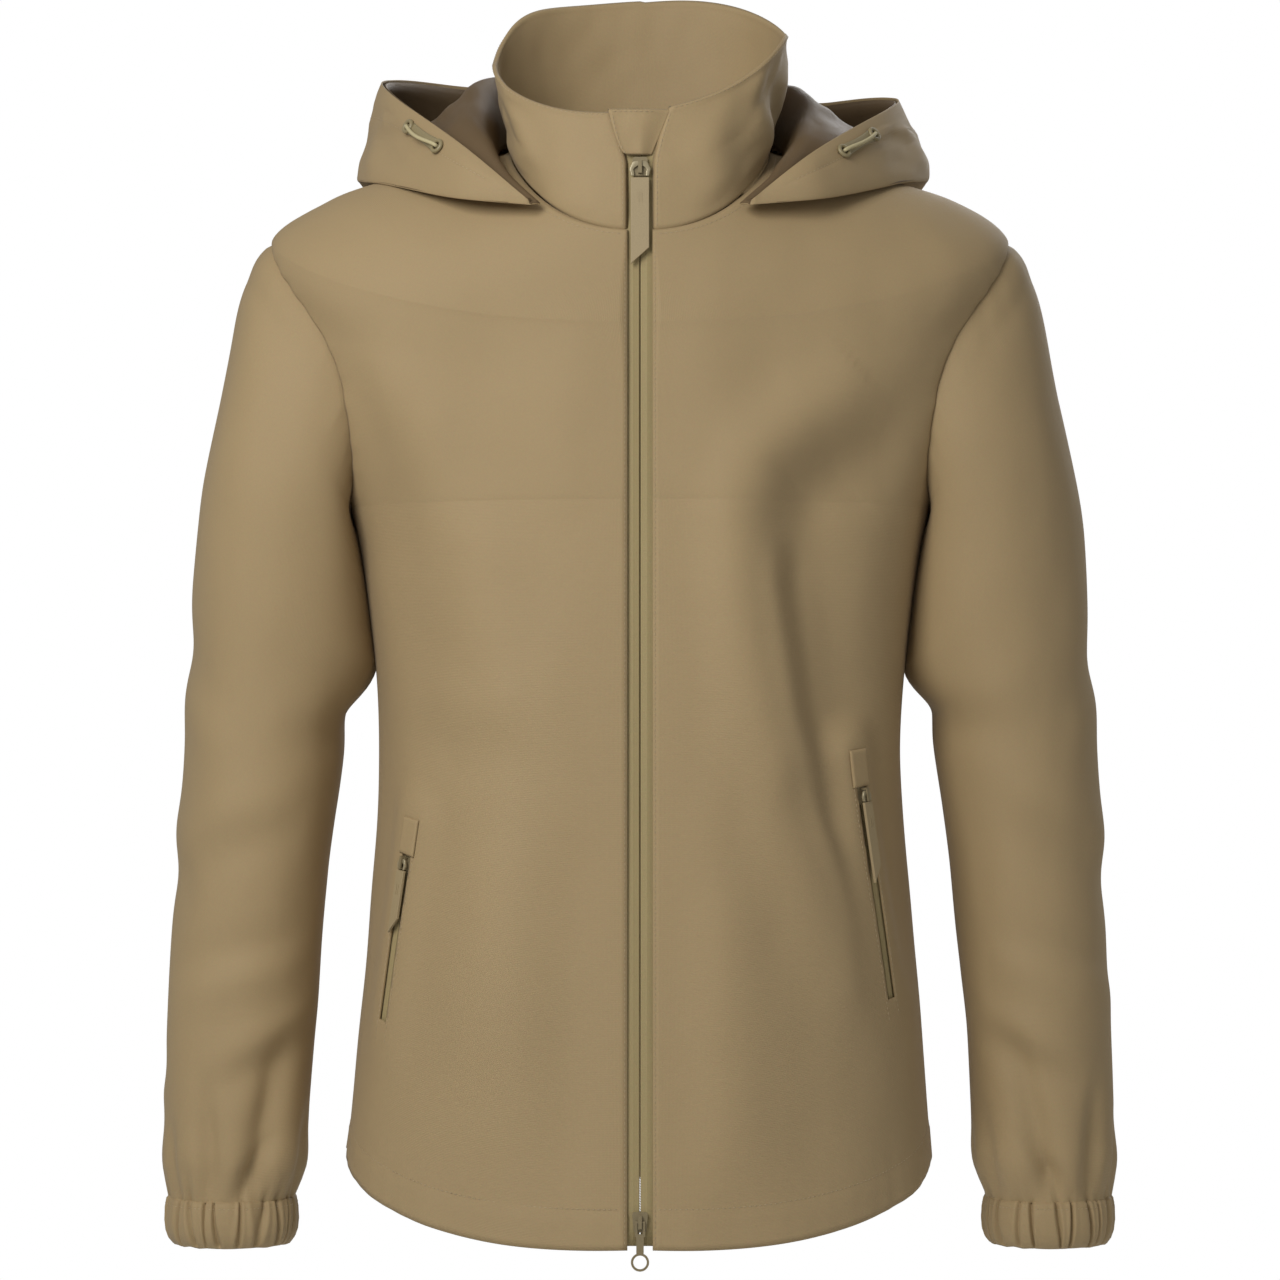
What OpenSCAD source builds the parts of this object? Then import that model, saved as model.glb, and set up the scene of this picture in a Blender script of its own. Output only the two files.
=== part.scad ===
// Hooded shell jacket: two fronts, back, set-in sleeves, stand collar, folded-down hood,
// two-way front zip and two zipped pockets, as it hangs on a body with its front closed.
// Frame: X across (wearer's left is +X), Y from front to back, Z up; the origin lies between
// the wearer's shoulders, on the line through the two neck points. Millimetres.

/* [Body] */
// Half width of the body at the hem
hem_half = 181; // [176:1:184]
// Half width at the waist
waist_half = 162; // [158:1:166]
// Half width at the underarm
chest_half = 180; // [177:1:182]
// Height of the front hem below the origin
hem_front = 650; // [645:1:665]
// Height of the hem at the side seams below the origin
hem_side = 606; // [590:1:620]
// Forward lean of the front edge, as a slope
front_slope = 0.09; // [0.08:0.01:0.10]
// Thickness of a fabric layer
cloth_t = 1.2; // [1:0.1:1.3]

/* [Collar and hood] */
// Half width of the collar at its top edge
collar_half = 91; // [89:1:93]
// Height of the hood's edge at the back above the origin
rim_back = 62; // [56:1:66]
// Depth of the hood's pouch below the origin
pouch_depth = 185; // [170:1:195]

/* [Sleeves] */
// Height of the cuff seam below the origin
cuff_z = 640; // [636:1:644]
// Outer radius of the gathered cuff
cuff_r = 40; // [39:0.5:40.5]
// Height of the cuff band
cuff_h = 31; // [28:1:34]

/* [Zips] */
// Half of the gap between the two front edges
gap_half = 7.5; // [7:0.5:8]
// Length of the pull tab on the front zip
tab_len = 51; // [44:1:54]
// Visible length of the right pocket's zip
right_pocket_len = 122; // [116:1:126]
// Visible length of the left pocket's zip
left_pocket_len = 150; // [140:1:152]

/* [Hidden] */

shell_colour = [0.62, 0.53, 0.39];
lining_colour = [0.50, 0.43, 0.33];
tape_colour = [0.56, 0.50, 0.34];
metal_colour = [0.60, 0.54, 0.40];

// ---- Splines through stations, each a row whose first number is the parameter ----
function at(v, T, i = 0) = (i >= len(T) - 2 || v < T[i + 1][0]) ? i : at(v, T, i + 1);
function slope(T, i, k) = let(a = max(i - 1, 0), b = min(i + 1, len(T) - 1))
  (T[b][k] - T[a][k]) / (T[b][0] - T[a][0]);
function spline(v, T, k) = let(i = at(v, T), h = T[i + 1][0] - T[i][0], s = (v - T[i][0]) / h)
  (2*s*s*s - 3*s*s + 1) * T[i][k] + (s*s*s - 2*s*s + s) * h * slope(T, i, k)
  + (3*s*s - 2*s*s*s) * T[i + 1][k] + (s*s*s - s*s) * h * slope(T, i + 1, k);
function unit(p) = p / norm(p);

// ---- Body and collar surface: turn is 0 at the front, 90 at the side and 180 at the back ----
neck_front = -48;
front_y0 = -100;
function front_y(z) = front_y0 + front_slope * (z - neck_front);
// Station: parameter, half width, back y, side y, front z, side z, back z
body = [
  [0.00, hem_half, 126, 0, -hem_front, -hem_side, -640],
  [0.08, hem_half - 4, 124, 0, 52 - hem_front, 42 - hem_side, -592],
  [0.20, waist_half + 7, 118, 0, -508, -470, -505],
  [0.36, waist_half, 110, 0, -380, -365, -378],
  [0.48, waist_half + 5, 113, 0, -290, -288, -285],
  [0.60, chest_half, 118, 2, -210, -215, -200],
  [0.68, 201, 118, 4, -168, -158, -145],
  [0.76, 217, 112, 5, -133, -100, -95],
  [0.84, 229, 98, 4, -103, -50, -48],
  [0.90, 192, 84, 0, -81, -23, -12],
  [0.95, 134, 72, -8, -64, -5, 10],
  [1.00, 80, 62, -18, neck_front, 4, 25]];
collar = [
  [0.0, 80, 62, -18, neck_front, 4, 25],
  [0.5, 87, 69, -16, -12, 37, 67],
  [1.0, collar_half, 72, -14, 25, 67, 107]];
superellipse = 2 / 2.3;
function power(c) = sign(c) * pow(abs(c), superellipse);
function skin(T, turn, v) = let(c = cos(turn), s = sin(turn),
    zf = spline(v, T, 4), zs = spline(v, T, 5), zb = spline(v, T, 6), yc = spline(v, T, 3),
    reach = c > 0 ? yc - front_y(zf) : spline(v, T, 2) - yc)
  [spline(v, T, 1) * power(s), yc - reach * power(c), zs + ((c > 0 ? zf : zb) - zs) * pow(abs(c), 1.4)];
function out(T, turn, v) = unit(cross(skin(T, turn + 0.5, v) - skin(T, turn - 0.5, v),
  skin(T, turn, v + 0.002) - skin(T, turn, v - 0.002)));
// The skin moved inwards by a depth
function under(T, turn, v, depth) = skin(T, turn, v) - depth * out(T, turn, v);
// The turn at which the skin is x from the middle, at the front
function turn_at(T, x, v) = asin(pow(x / spline(v, T, 1), 1 / superellipse));

// ---- Armhole: clock is 0 at the shoulder, 90 in front, 180 underarm and 270 behind ----
underarm_v = 0.60;
shoulder_v = 0.84;
notch_front = 31;
notch_back = 25;
function arm_v(clock) = underarm_v + (shoulder_v - underarm_v) * (1 + cos(clock)) / 2;
function arm_turn(clock) = 90 - (sin(clock) > 0 ? notch_front : notch_back) * sin(clock);
// How far round a panel reaches at v, from the side seam, with the armhole cut out
function side_turn(v, notch) = let(c = 2 * (v - underarm_v) / (shoulder_v - underarm_v) - 1)
  abs(c) >= 1 ? 0 : notch * sqrt(1 - c * c);

// ---- Closed solids from a grid of points ----
function flip(face, on) = on ? [face[2], face[1], face[0]] : face;
// A sheet between two grids of the same size, top outside and base inside
module sheet(top, base, turned = false) {
  m = len(top);
  n = len(top[0]);
  function id(k, i, j) = k * m * n + i * n + j;
  pts = [for (g = [top, base]) for (row = g) for (p = row) p];
  faces = [for (i = [0:m - 2]) for (j = [0:n - 2]) each [
      [id(0, i, j), id(0, i + 1, j), id(0, i, j + 1)],
      [id(0, i + 1, j), id(0, i + 1, j + 1), id(0, i, j + 1)],
      [id(1, i, j), id(1, i, j + 1), id(1, i + 1, j)],
      [id(1, i + 1, j), id(1, i, j + 1), id(1, i + 1, j + 1)]]];
  ends = [for (j = [0:n - 2]) each [
      [id(0, 0, j), id(0, 0, j + 1), id(1, 0, j)],
      [id(1, 0, j), id(0, 0, j + 1), id(1, 0, j + 1)],
      [id(0, m - 1, j), id(1, m - 1, j), id(0, m - 1, j + 1)],
      [id(1, m - 1, j), id(1, m - 1, j + 1), id(0, m - 1, j + 1)]]];
  sides = [for (i = [0:m - 2]) each [
      [id(0, i, 0), id(1, i, 0), id(0, i + 1, 0)],
      [id(1, i, 0), id(1, i + 1, 0), id(0, i + 1, 0)],
      [id(0, i, n - 1), id(0, i + 1, n - 1), id(1, i, n - 1)],
      [id(1, i, n - 1), id(0, i + 1, n - 1), id(1, i + 1, n - 1)]]];
  polyhedron(pts, [for (f = concat(faces, ends, sides)) flip(f, turned)], convexity = 6);
}
// A sheet that closes on itself, its last column joined to its first
module tube(top, base, turned = false) {
  m = len(top);
  n = len(top[0]);
  function id(k, i, j) = k * m * n + i * n + (j % n);
  pts = [for (g = [top, base]) for (row = g) for (p = row) p];
  faces = [for (i = [0:m - 2]) for (j = [0:n - 1]) each [
      [id(0, i, j), id(0, i + 1, j), id(0, i, j + 1)],
      [id(0, i + 1, j), id(0, i + 1, j + 1), id(0, i, j + 1)],
      [id(1, i, j), id(1, i, j + 1), id(1, i + 1, j)],
      [id(1, i + 1, j), id(1, i, j + 1), id(1, i + 1, j + 1)]]];
  ends = [for (j = [0:n - 1]) each [
      [id(0, 0, j), id(0, 0, j + 1), id(1, 0, j)],
      [id(1, 0, j), id(0, 0, j + 1), id(1, 0, j + 1)],
      [id(0, m - 1, j), id(1, m - 1, j), id(0, m - 1, j + 1)],
      [id(1, m - 1, j), id(1, m - 1, j + 1), id(0, m - 1, j + 1)]]];
  polyhedron(pts, [for (f = concat(faces, ends)) flip(f, turned)], convexity = 6);
}
// A strip of the skin T from depth d0 to d1, given its turns at each v
module strip(T, v0, v1, rows, cols, turns, d0, d1, turned = false) {
  function pt(i, j, d) = let(v = v0 + (v1 - v0) * i / rows, r = turns(v))
    under(T, r[0] + (r[1] - r[0]) * j / cols, v, d);
  sheet([for (i = [0:rows]) [for (j = [0:cols]) pt(i, j, d0)]],
        [for (i = [0:rows]) [for (j = [0:cols]) pt(i, j, d1)]], turned);
}

// ---- Body panels ----
seam_gap = 0.15;
module front_panel(side) {
  edge = function(v) [side * turn_at(body, gap_half, v),
    side * (90 - seam_gap - side_turn(v, notch_front))];
  color(shell_colour) strip(body, 0, 1, 25, 14, edge, 0, cloth_t, side < 0);
}
module back_panel() {
  edge = function(v) [90 + seam_gap + side_turn(v, notch_back),
    270 - seam_gap - side_turn(v, notch_back)];
  color(shell_colour) strip(body, 0, 1, 25, 26, edge, 0, cloth_t);
}
facing_depth = 3.4;
module front_facing(side) {
  edge = function(v) [side * turn_at(body, 9, v), side * turn_at(body, 42, v)];
  color(lining_colour) strip(body, 0.02, 0.985, 20, 3, edge, facing_depth, facing_depth + 1, side < 0);
}
module back_neck_facing() color(lining_colour)
  strip(body, 0.90, 0.985, 3, 14, function(v) [120, 240], facing_depth, facing_depth + 1);

// ---- Collar ----
// The front edges of the collar part above the slider
function collar_gap(h) = gap_half + 10 * pow(max(0, (h - 0.55) / 0.45), 1.3);
module collar_layer(d0, d1, gap) color(shell_colour)
  strip(collar, 0.012, 1, 5, 40,
    function(v) let(e = turn_at(collar, collar_gap(v) + gap, v)) [e, 360 - e], d0, d1);
// Folded tab over the top of the zip, sewn on beside the left collar edge and over the right one
guard_z = [-3, 25];
module chin_guard() {
  function left(k) = 9 + 10 * sqrt(k);
  function pt(i, j, d) = let(k = i / 6, z = guard_z[0] + (guard_z[1] - guard_z[0]) * k,
      u = j / 8, x = -left(k) * (1 - u) + (5 + 11 * k) * u, rise = 1.6 - 1.2 * u * u * (3 - 2 * u))
    [x, front_y(z) - rise + d, z];
  color(shell_colour) sheet([for (i = [0:6]) [for (j = [0:8]) pt(i, j, 0)]],
    [for (i = [0:6]) [for (j = [0:8]) pt(i, j, 1)]]);
}
loop_r = 38;
module hanger_loop() color(tape_colour)
  translate([0, 81, 14]) rotate([0, 0, 232])
    rotate_extrude(angle = 76, $fn = 64) translate([loop_r, 0]) square([1.2, 6]);

// ---- Sleeves ----
// Station: parameter, centre x, y, z, half width, half depth, rise of the outer side
arm = [
  [0.22, 224, 6, -240, 49, 66, 45],
  [0.40, 231, 8, -335, 50, 59, 20],
  [0.60, 241, 8, -435, 47, 54, 6],
  [0.80, 248, 6, -530, 45.5, 50, 0],
  [0.93, 250.5, 4, -598, 44.5, 47, 0],
  [0.975, 252, 3, 14 - cuff_z, 43, 44, 0],
  [1.00, 254, 3, -cuff_z, cuff_r - 0.5, cuff_r - 0.5, 0]];
cap_t = arm[0][0];
function ring(clock, t) = [spline(t, arm, 1) + spline(t, arm, 4) * cos(clock),
  spline(t, arm, 2) - spline(t, arm, 5) * sin(clock), spline(t, arm, 3) + spline(t, arm, 6) * cos(clock)];
function cap(clock, s) = let(a = skin(body, arm_turn(clock), arm_v(clock)), b = ring(clock, cap_t),
    la = norm(b - a) * unit([0.5 + 0.35 * cos(clock), -0.2 * sin(clock), -0.8 + 0.2 * cos(clock)]),
    lb = (ring(clock, cap_t + 0.01) - b) * cap_t / 0.01)
  (2*s*s*s - 3*s*s + 1) * a + (s*s*s - 2*s*s + s) * la + (3*s*s - 2*s*s*s) * b + (s*s*s - s*s) * lb;
function sleeve(clock, t) = t < cap_t ? cap(clock, t / cap_t) : ring(clock, t);
function sleeve_out(clock, t) = unit(cross(sleeve(clock + 1, t) - sleeve(clock - 1, t),
  sleeve(clock, t + 0.004) - sleeve(clock, t)));
sleeve_rows = [0.008, 0.04, 0.08, 0.12, 0.16, 0.20, 0.25, 0.31, 0.38, 0.46, 0.55, 0.64, 0.73,
  0.82, 0.90, 0.95, 0.975, 0.99];
module sleeve_panel(side) {
  cols = 24;
  function pt(t, j, d) = let(c = 360 * j / cols) sleeve(c, t) - d * sleeve_out(c, t);
  color(shell_colour) mirror([side < 0 ? 1 : 0, 0, 0])
    tube([for (t = sleeve_rows) [for (j = [0:cols - 1]) pt(t, j, 0)]],
      [for (t = sleeve_rows) [for (j = [0:cols - 1]) pt(t, j, cloth_t)]]);
}
// Gathered band, folded round its elastic
module cuff(side) color(shell_colour) translate([side * arm[6][1], arm[6][2], -cuff_z])
  rotate_extrude($fn = 72) difference() {
    translate([cuff_r - 5, -cuff_h - 0.6]) square([5, cuff_h]);
    translate([cuff_r - 4, 1.2 - cuff_h]) square([3, cuff_h]);
    translate([cuff_r - 2, -cuff_h - 0.6]) rotate(-45) square([6, 3]);
  }
module cuff_elastic(side) color("white") translate([side * arm[6][1], arm[6][2], 3 - cuff_h - cuff_z])
  rotate_extrude($fn = 72) translate([cuff_r - 3.4, 0]) square([1.6, cuff_h - 6]);

// ---- Hood, folded down: around is 0 at the back and 1 where it meets the neck in front ----
// Each row holds a line's points from the back to the front end, as [around, x, y, z]
hood_end = [59, -88, -34];
hood_lines = [
  // neck seam
  [[0, 0, 71, 27], [0.3, 53, 56, 21], [0.55, 84, 16, 10], [0.75, 90, -32, -2], [0.9, 80, -68, -20],
   [1, 60, -91, -33]],
  // ridge against the collar
  [[0, 0, 88, 62], [0.3, 58, 74, 62], [0.55, 98, 28, 58], [0.75, 102, -26, 28], [0.9, 84, -70, -10],
   [1, 61, -92, -33]],
  // wall that falls into the pouch
  [[0, 0, 106, 20], [0.3, 70, 98, 26], [0.55, 118, 44, 28], [0.75, 120, -22, 14], [0.9, 92, -71, -18],
   [1, 62, -93, -33]],
  // bottom of the pouch, against the back
  [[0, 0, 130, 24 - pouch_depth], [0.3, 80, 132, -112], [0.55, 142, 64, -4], [0.75, 144, -8, 2],
   [0.9, 104, -74, -24], [1, 63, -94, -33]],
  // bottom of the pouch, outside
  [[0, 0, 146, 12 - pouch_depth], [0.3, 90, 148, -122], [0.55, 170, 84, -16], [0.75, 172, 0, -6],
   [0.9, 114, -77, -27], [1, 64, -95, -33]],
  // outer wall, half way up
  [[0, 0, 180, -66], [0.3, 100, 172, -44], [0.55, 180, 90, 18], [0.75, 171, 8, 22],
   [0.9, 112, -75, -10], [1, 65, -95.5, -32]],
  // edge of the face opening
  [[0, 0, 172, rim_back], [0.3, 96, 158, rim_back + 4], [0.55, 156, 84, rim_back + 2],
   [0.75, 156, 14, rim_back - 14], [0.9, 107, -68, 6], [1, 66, -96, -31]]];
function hood_at(line, w) = [for (k = [1:3]) spline(w, hood_lines[line], k)];
hood_v = [0, 0.16, 0.34, 0.52, 0.62, 0.82, 1];
function hood(w, v) = let(T = [for (i = [0:6]) concat([hood_v[i]], hood_at(i, abs(w)))])
  [sign(w) * spline(v, T, 1), spline(v, T, 2), spline(v, T, 3)];
function hood_out(w, v) = unit(cross(hood(w, v + 0.01) - hood(w, v - 0.01),
  hood(w + 0.01, v) - hood(w - 0.01, v)));
// Depth of the lining below the shell: the edge is a tunnel for the cord
function lining_depth(v) = 2.2 + 2.8 * max(0, min(1, (v - 0.80) / 0.08));
// The pouch swings about its top edge: what lies behind a slanting plane there moves
pouch_pivot = [0, 138, 70];
pouch_cut = -36.87;
module behind_cut(gap) translate(pouch_pivot) rotate([pouch_cut, 0, 0])
  translate([-300, gap, -400]) cube([600, 500, 800]);
module hood_layer(w, cols, lining) {
  rows = 17;
  function pt(i, j, t) = let(a = w[0] + (w[1] - w[0]) * j / cols, v = 0.006 + 0.988 * i / rows,
      taper = min(1, 0.3 + (1 - abs(a)) * 6), depth = lining ? lining_depth(v) + 0.8 * t : 1.2 * t)
    hood(a, v) - taper * depth * hood_out(a, v);
  color(lining ? lining_colour : shell_colour)
    sheet([for (i = [0:rows]) [for (j = [0:cols]) pt(i, j, 0)]],
      [for (i = [0:rows]) [for (j = [0:cols]) pt(i, j, 1)]], true);
}
panel_w = 0.24;
hood_tip_w = 0.965;
// side is 0 for the centre panel
module hood_panel(side, lining) hood_layer(side == 0 ? [0.006 - panel_w, panel_w - 0.006] :
  side > 0 ? [panel_w, hood_tip_w] : [-hood_tip_w, -panel_w], side == 0 ? 8 : 13, lining);
module hood_back(side, lining) intersection() {
  hood_panel(side, lining);
  behind_cut(0.25);
}
module hood_wing(side, lining) difference() {
  hood_panel(side, lining);
  behind_cut(-0.25);
  if (side != 0 && !lining) for (k = [0, 1])
    on_hood(side, eyelet_w[k], eyelet_v[k], -2.5) cylinder(r = 2, h = 5, $fn = 32);
}

// Two eyelets a side, with the cord's loop between them
eyelet_w = [0.815, 0.865];
eyelet_v = [0.905, 0.895];
module on_hood(side, w, v, lift) {
  p = hood(side * w, v);
  n = hood_out(side * w, v);
  translate(p + lift * n) rotate([0, acos(n[2]), atan2(n[1], n[0])]) children();
}
module hood_eyelets(side) color(metal_colour) for (k = [0, 1])
  on_hood(side, eyelet_w[k], eyelet_v[k], 0.3) rotate_extrude($fn = 40) difference() {
    translate([2.1, 0]) square([2.4, 1.4]);
    translate([4.5, 1.4]) circle(0.9, $fn = 24);
  }

// ---- Cords as tubes along points ----
function heading(path, i) = unit(path[min(i + 1, len(path) - 1)] - path[max(i - 1, 0)]);
module cord(path, r, sides = 8) {
  n = len(path);
  pts = [for (i = [0:n - 1]) let(d = heading(path, i), a = unit(cross(d, [0.3, 0.2, 1])), b = cross(d, a))
    for (k = [0:sides - 1]) path[i] + r * (cos(360 * k / sides) * a + sin(360 * k / sides) * b)];
  walls = [for (i = [0:n - 2]) for (k = [0:sides - 1]) let(a = i * sides + k, b = i * sides + (k + 1) % sides)
    each [[a, b, a + sides], [b, b + sides, a + sides]]];
  polyhedron(pts, concat([[for (k = [sides - 1:-1:0]) k]], walls,
    [[for (k = [0:sides - 1]) (n - 1) * sides + k]]));
}
cord_r = 1.2;
// Along the tunnel from its anchor, out of one eyelet, round and into the other
function in_tunnel(side, w, v) = hood(side * w, v) - 3.1 * hood_out(side * w, v);
function over_hood(side, w, v, lift) = hood(side * w, v) + lift * hood_out(side * w, v);
module hood_cord(side) color(tape_colour) cord(concat(
  [for (w = [0.47:0.04:0.79]) in_tunnel(side, w, 0.93)],
  [for (lift = [-2.8, -1.2, 0.6, 2.4]) over_hood(side, eyelet_w[0], eyelet_v[0], lift)],
  [for (k = [1:5]) let(s = k / 6, w = eyelet_w[0] + (eyelet_w[1] - eyelet_w[0]) * s)
    over_hood(side, w, 0.90 - 0.03 * sin(180 * s), 2.4 + 2.6 * sin(180 * s))],
  [for (lift = [2.4, 0.6, -1.2, -2.8]) over_hood(side, eyelet_w[1], eyelet_v[1], lift)],
  [in_tunnel(side, 0.885, 0.92), in_tunnel(side, 0.905, 0.93)]), cord_r);

// ---- Zips, in their own frame: Z up the chain, -Y out of the jacket, 0 at the fabric's face ----
lean = atan(front_slope);
module on_front() translate([0, front_y0, neck_front]) rotate([-lean, 0, 0]) children();
tape_y = 2.0;
tape_t = 0.6;
split = 0.6;
chain_low = -600;
chain_high = 60;
module tape(side, low, high, width = 16, y = tape_y)
  translate([side > 0 ? split : -width, y, low]) cube([width - split, tape_t, high - low]);
module coil(side, low, high, y = tape_y) translate([side * 1.9, y + tape_t + 1.15, low])
  cylinder(r = 1.05, h = high - low, $fn = 24);
// Slider with a bridge for the pull; the chain runs through it
pin_y = tape_y - 3.5;
module plate() offset(1.5, $fn = 24) polygon([[-3.1, 4.5], [3.1, 4.5], [2.4, -4.5], [-2.4, -4.5]]);
module slider(y = tape_y, pin = pin_y) color(metal_colour) {
  translate([0, y - 0.4, 0]) rotate([90, 0, 0]) linear_extrude(2.2) plate();
  translate([0, y + 4.4, 0]) rotate([90, 0, 0]) linear_extrude(1.2) plate();
  translate([-0.4, y - 0.5, 0]) cube([0.8, 4, 5]);
  translate([-1.1, pin - 1.9, -4]) cube([2.2, 1, 8]);
  for (z = [-4, 3]) translate([-1.1, pin - 1.9, z]) cube([2.2, y - pin - 0.6, 1]);
}
// Link under the bridge, its arms joined below
module pull_link(arm_len, y = pin_y) color(metal_colour) {
  translate([-3, y, 0]) rotate([0, 90, 0]) cylinder(r = 0.7, h = 6, $fn = 32);
  for (x = [-3, 1.5]) translate([x, y - 0.7, -arm_len]) cube([1.5, 1.4, arm_len]);
  translate([-3, y - 0.7, -arm_len - 1.5]) cube([6, 1.4, 1.6]);
}
// Moulded tab with a slanted end, hooked on its link
module pull_tab(width, length, link_end, y = pin_y) color(tape_colour)
  translate([0, y + 1.0, 0]) rotate([90, 0, 0]) difference() {
    linear_extrude(2.0) polygon([[-width / 2, 1.4 - link_end], [width / 2, 1.4 - link_end],
      [width / 2, 10 - length], [-width / 2, -length]]);
    translate([-3.1, -link_end - 1.7, 0.2]) cube([6.2, 4, 1.6]);
  }
link_len = 8;
slider_z = 38;
module zip_tape(side) color(tape_colour) on_front() tape(side, chain_low, chain_high);
module zip_coil(side) color(tape_colour) on_front() coil(side, chain_low + 12, chain_high - 6);
module zip_top_stops() color(metal_colour) on_front() for (x = [-3.1, 0.7])
  translate([x, 2.7, chain_high - 5]) cube([2.4, 1.8, 3]);
module zip_bottom_pins() color(metal_colour) on_front() for (x = [-2.8, 0.8])
  translate([x, 2.7, chain_low + 0.5]) cube([2, 2, 11]);
module top_slider() on_front() translate([0, 0, slider_z]) slider();
module top_pull_link() on_front() translate([0, 0, slider_z]) pull_link(link_len);
module top_pull_tab() on_front() translate([0, 0, slider_z]) pull_tab(11, tab_len + 8, link_len);
bottom_z = chain_low + 7;
module bottom_slider() on_front() translate([0, 0, bottom_z]) slider();
// One-piece pull that lies against its slider and ends in a ring
ring_r = 4.0;
ring_drop = 20;
module bottom_pull() color(metal_colour) on_front() translate([0, 0, bottom_z]) {
  pull_link(7);
  translate([-2.2, pin_y - 0.7, 1.6 - ring_drop]) cube([4.4, 1.4, 10]);
  translate([0, pin_y + 0.8, -ring_drop - 3.5]) rotate([90, 0, 0]) difference() {
    cylinder(r = 5.4, h = 1.6, $fn = 64);
    translate([0, 0, -1]) cylinder(r = ring_r, h = 4, $fn = 64);
  }
}

// ---- Pockets: a straight slit in each front with its zip behind it ----
// Each is [side, turn and v of the slit's top end, length]
right_pocket = [-1, 56, 0.312, right_pocket_len];
left_pocket = [1, 52, 0.372, left_pocket_len];
slit_half = 5;
garage_len = 18;
pocket_tape_y = 3.6;
pocket_pin_y = -2.1;
pocket_slider_z = -garage_len - 6.5;
// A point beside the slit: s is 0 at its top end and 1 at its bottom end, across is in degrees
function slit_turn(p, s) = p[0] * (p[1] + 0.065 * p[3] * s);
function slit_v(p, s) = p[2] - 0.00147 * p[3] * s;
function slit(p, s) = skin(body, slit_turn(p, s), slit_v(p, s));
module at_pocket(p) {
  z = unit(slit(p, 0) - slit(p, 1));
  n = out(body, slit_turn(p, 0.5), slit_v(p, 0.5));
  x = unit(cross(z, n));
  y = cross(z, x);
  o = slit(p, 0);
  multmatrix([[x[0], y[0], z[0], o[0]], [x[1], y[1], z[1], o[1]], [x[2], y[2], z[2], o[2]]]) children();
}
module pocket_front(p) difference() {
  front_panel(p[0]);
  at_pocket(p) translate([-slit_half, -12, -p[3]]) cube([2 * slit_half, 20, p[3]]);
}
// Bag behind the slit, hanging loose in the middle
module pocket_bag(p) {
  function pt(i, j, t) = under(body, p[0] * (30 + 8 * j), slit_v(p, 1.15 - 1.25 * i / 7),
    10.5 + 18 * sin(180 * i / 7) * sin(180 * j / 7) + t);
  color(lining_colour) sheet([for (i = [0:7]) [for (j = [0:7]) pt(i, j, 0)]],
    [for (i = [0:7]) [for (j = [0:7]) pt(i, j, 1)]], p[0] < 0);
}
module pocket_garage(p) {
  function pt(i, j, d) = let(s = (i / 4 * (garage_len + 4) - 3) / p[3])
    under(body, slit_turn(p, s) + 1.1 * (j - 3), slit_v(p, s), d);
  color(shell_colour) sheet([for (i = [4:-1:0]) [for (j = [0:6]) pt(i, j, -1.6)]],
    [for (i = [4:-1:0]) [for (j = [0:6]) pt(i, j, -0.5)]], p[0] < 0);
}
module pocket_tapes(p) color(tape_colour) at_pocket(p) for (side = [-1, 1])
  tape(side, -p[3] - 8, 6, 12, pocket_tape_y);
module pocket_coils(p) color(tape_colour) at_pocket(p) for (side = [-1, 1])
  coil(side, -p[3] - 4, 2, pocket_tape_y);
module pocket_slider(p) at_pocket(p) translate([0, 0, pocket_slider_z]) slider(pocket_tape_y, pocket_pin_y);
module pocket_pull_link(p) at_pocket(p) translate([0, 0, pocket_slider_z]) pull_link(6, pocket_pin_y);
module pocket_pull_tab(p, length) at_pocket(p) translate([0, 0, pocket_slider_z])
  pull_tab(8, length, 6, pocket_pin_y);

// ---- Each node ----
pocket_front(right_pocket);  // right_front_panel
pocket_front(left_pocket);  // left_front_panel
back_panel();
front_facing(-1);  // right_front_facing
front_facing(1);  // left_front_facing
back_neck_facing();
collar_layer(0, 1, 0);  // collar_shell
collar_layer(2.8, 3.6, 0.5);  // collar_lining
chin_guard();
hanger_loop();
sleeve_panel(-1);  // right_sleeve_panel
cuff(-1);  // right_cuff
cuff_elastic(-1);  // right_cuff_elastic
sleeve_panel(1);  // left_sleeve_panel
cuff(1);  // left_cuff
cuff_elastic(1);  // left_cuff_elastic
hood_back(-1, false);  // hood_right_panel
hood_back(1, false);  // hood_left_panel
hood_back(0, false);  // hood_centre_panel
hood_back(-1, true);  // hood_right_lining
hood_back(1, true);  // hood_left_lining
hood_back(0, true);  // hood_centre_lining
hood_wing(-1, false);  // hood_right_wing
hood_wing(1, false);  // hood_left_wing
hood_wing(0, false);  // hood_ridge
hood_wing(-1, true);  // hood_right_wing_lining
hood_wing(1, true);  // hood_left_wing_lining
hood_wing(0, true);  // hood_ridge_lining
hood_eyelets(-1);  // right_hood_eyelets
hood_eyelets(1);  // left_hood_eyelets
hood_cord(-1);  // right_hood_cord
hood_cord(1);  // left_hood_cord
zip_tape(-1);  // zip_right_tape
zip_tape(1);  // zip_left_tape
zip_coil(-1);  // zip_right_coil
zip_coil(1);  // zip_left_coil
zip_top_stops();
zip_bottom_pins();
top_slider();
top_pull_link();
top_pull_tab();
bottom_slider();
bottom_pull();
pocket_bag(right_pocket);  // right_pocket_bag
pocket_garage(right_pocket);  // right_pocket_garage
pocket_tapes(right_pocket);  // right_pocket_tapes
pocket_coils(right_pocket);  // right_pocket_coils
pocket_slider(right_pocket);  // right_pocket_slider
pocket_pull_link(right_pocket);  // right_pocket_pull_link
pocket_pull_tab(right_pocket, 44);  // right_pocket_pull_tab
pocket_bag(left_pocket);  // left_pocket_bag
pocket_garage(left_pocket);  // left_pocket_garage
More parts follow.
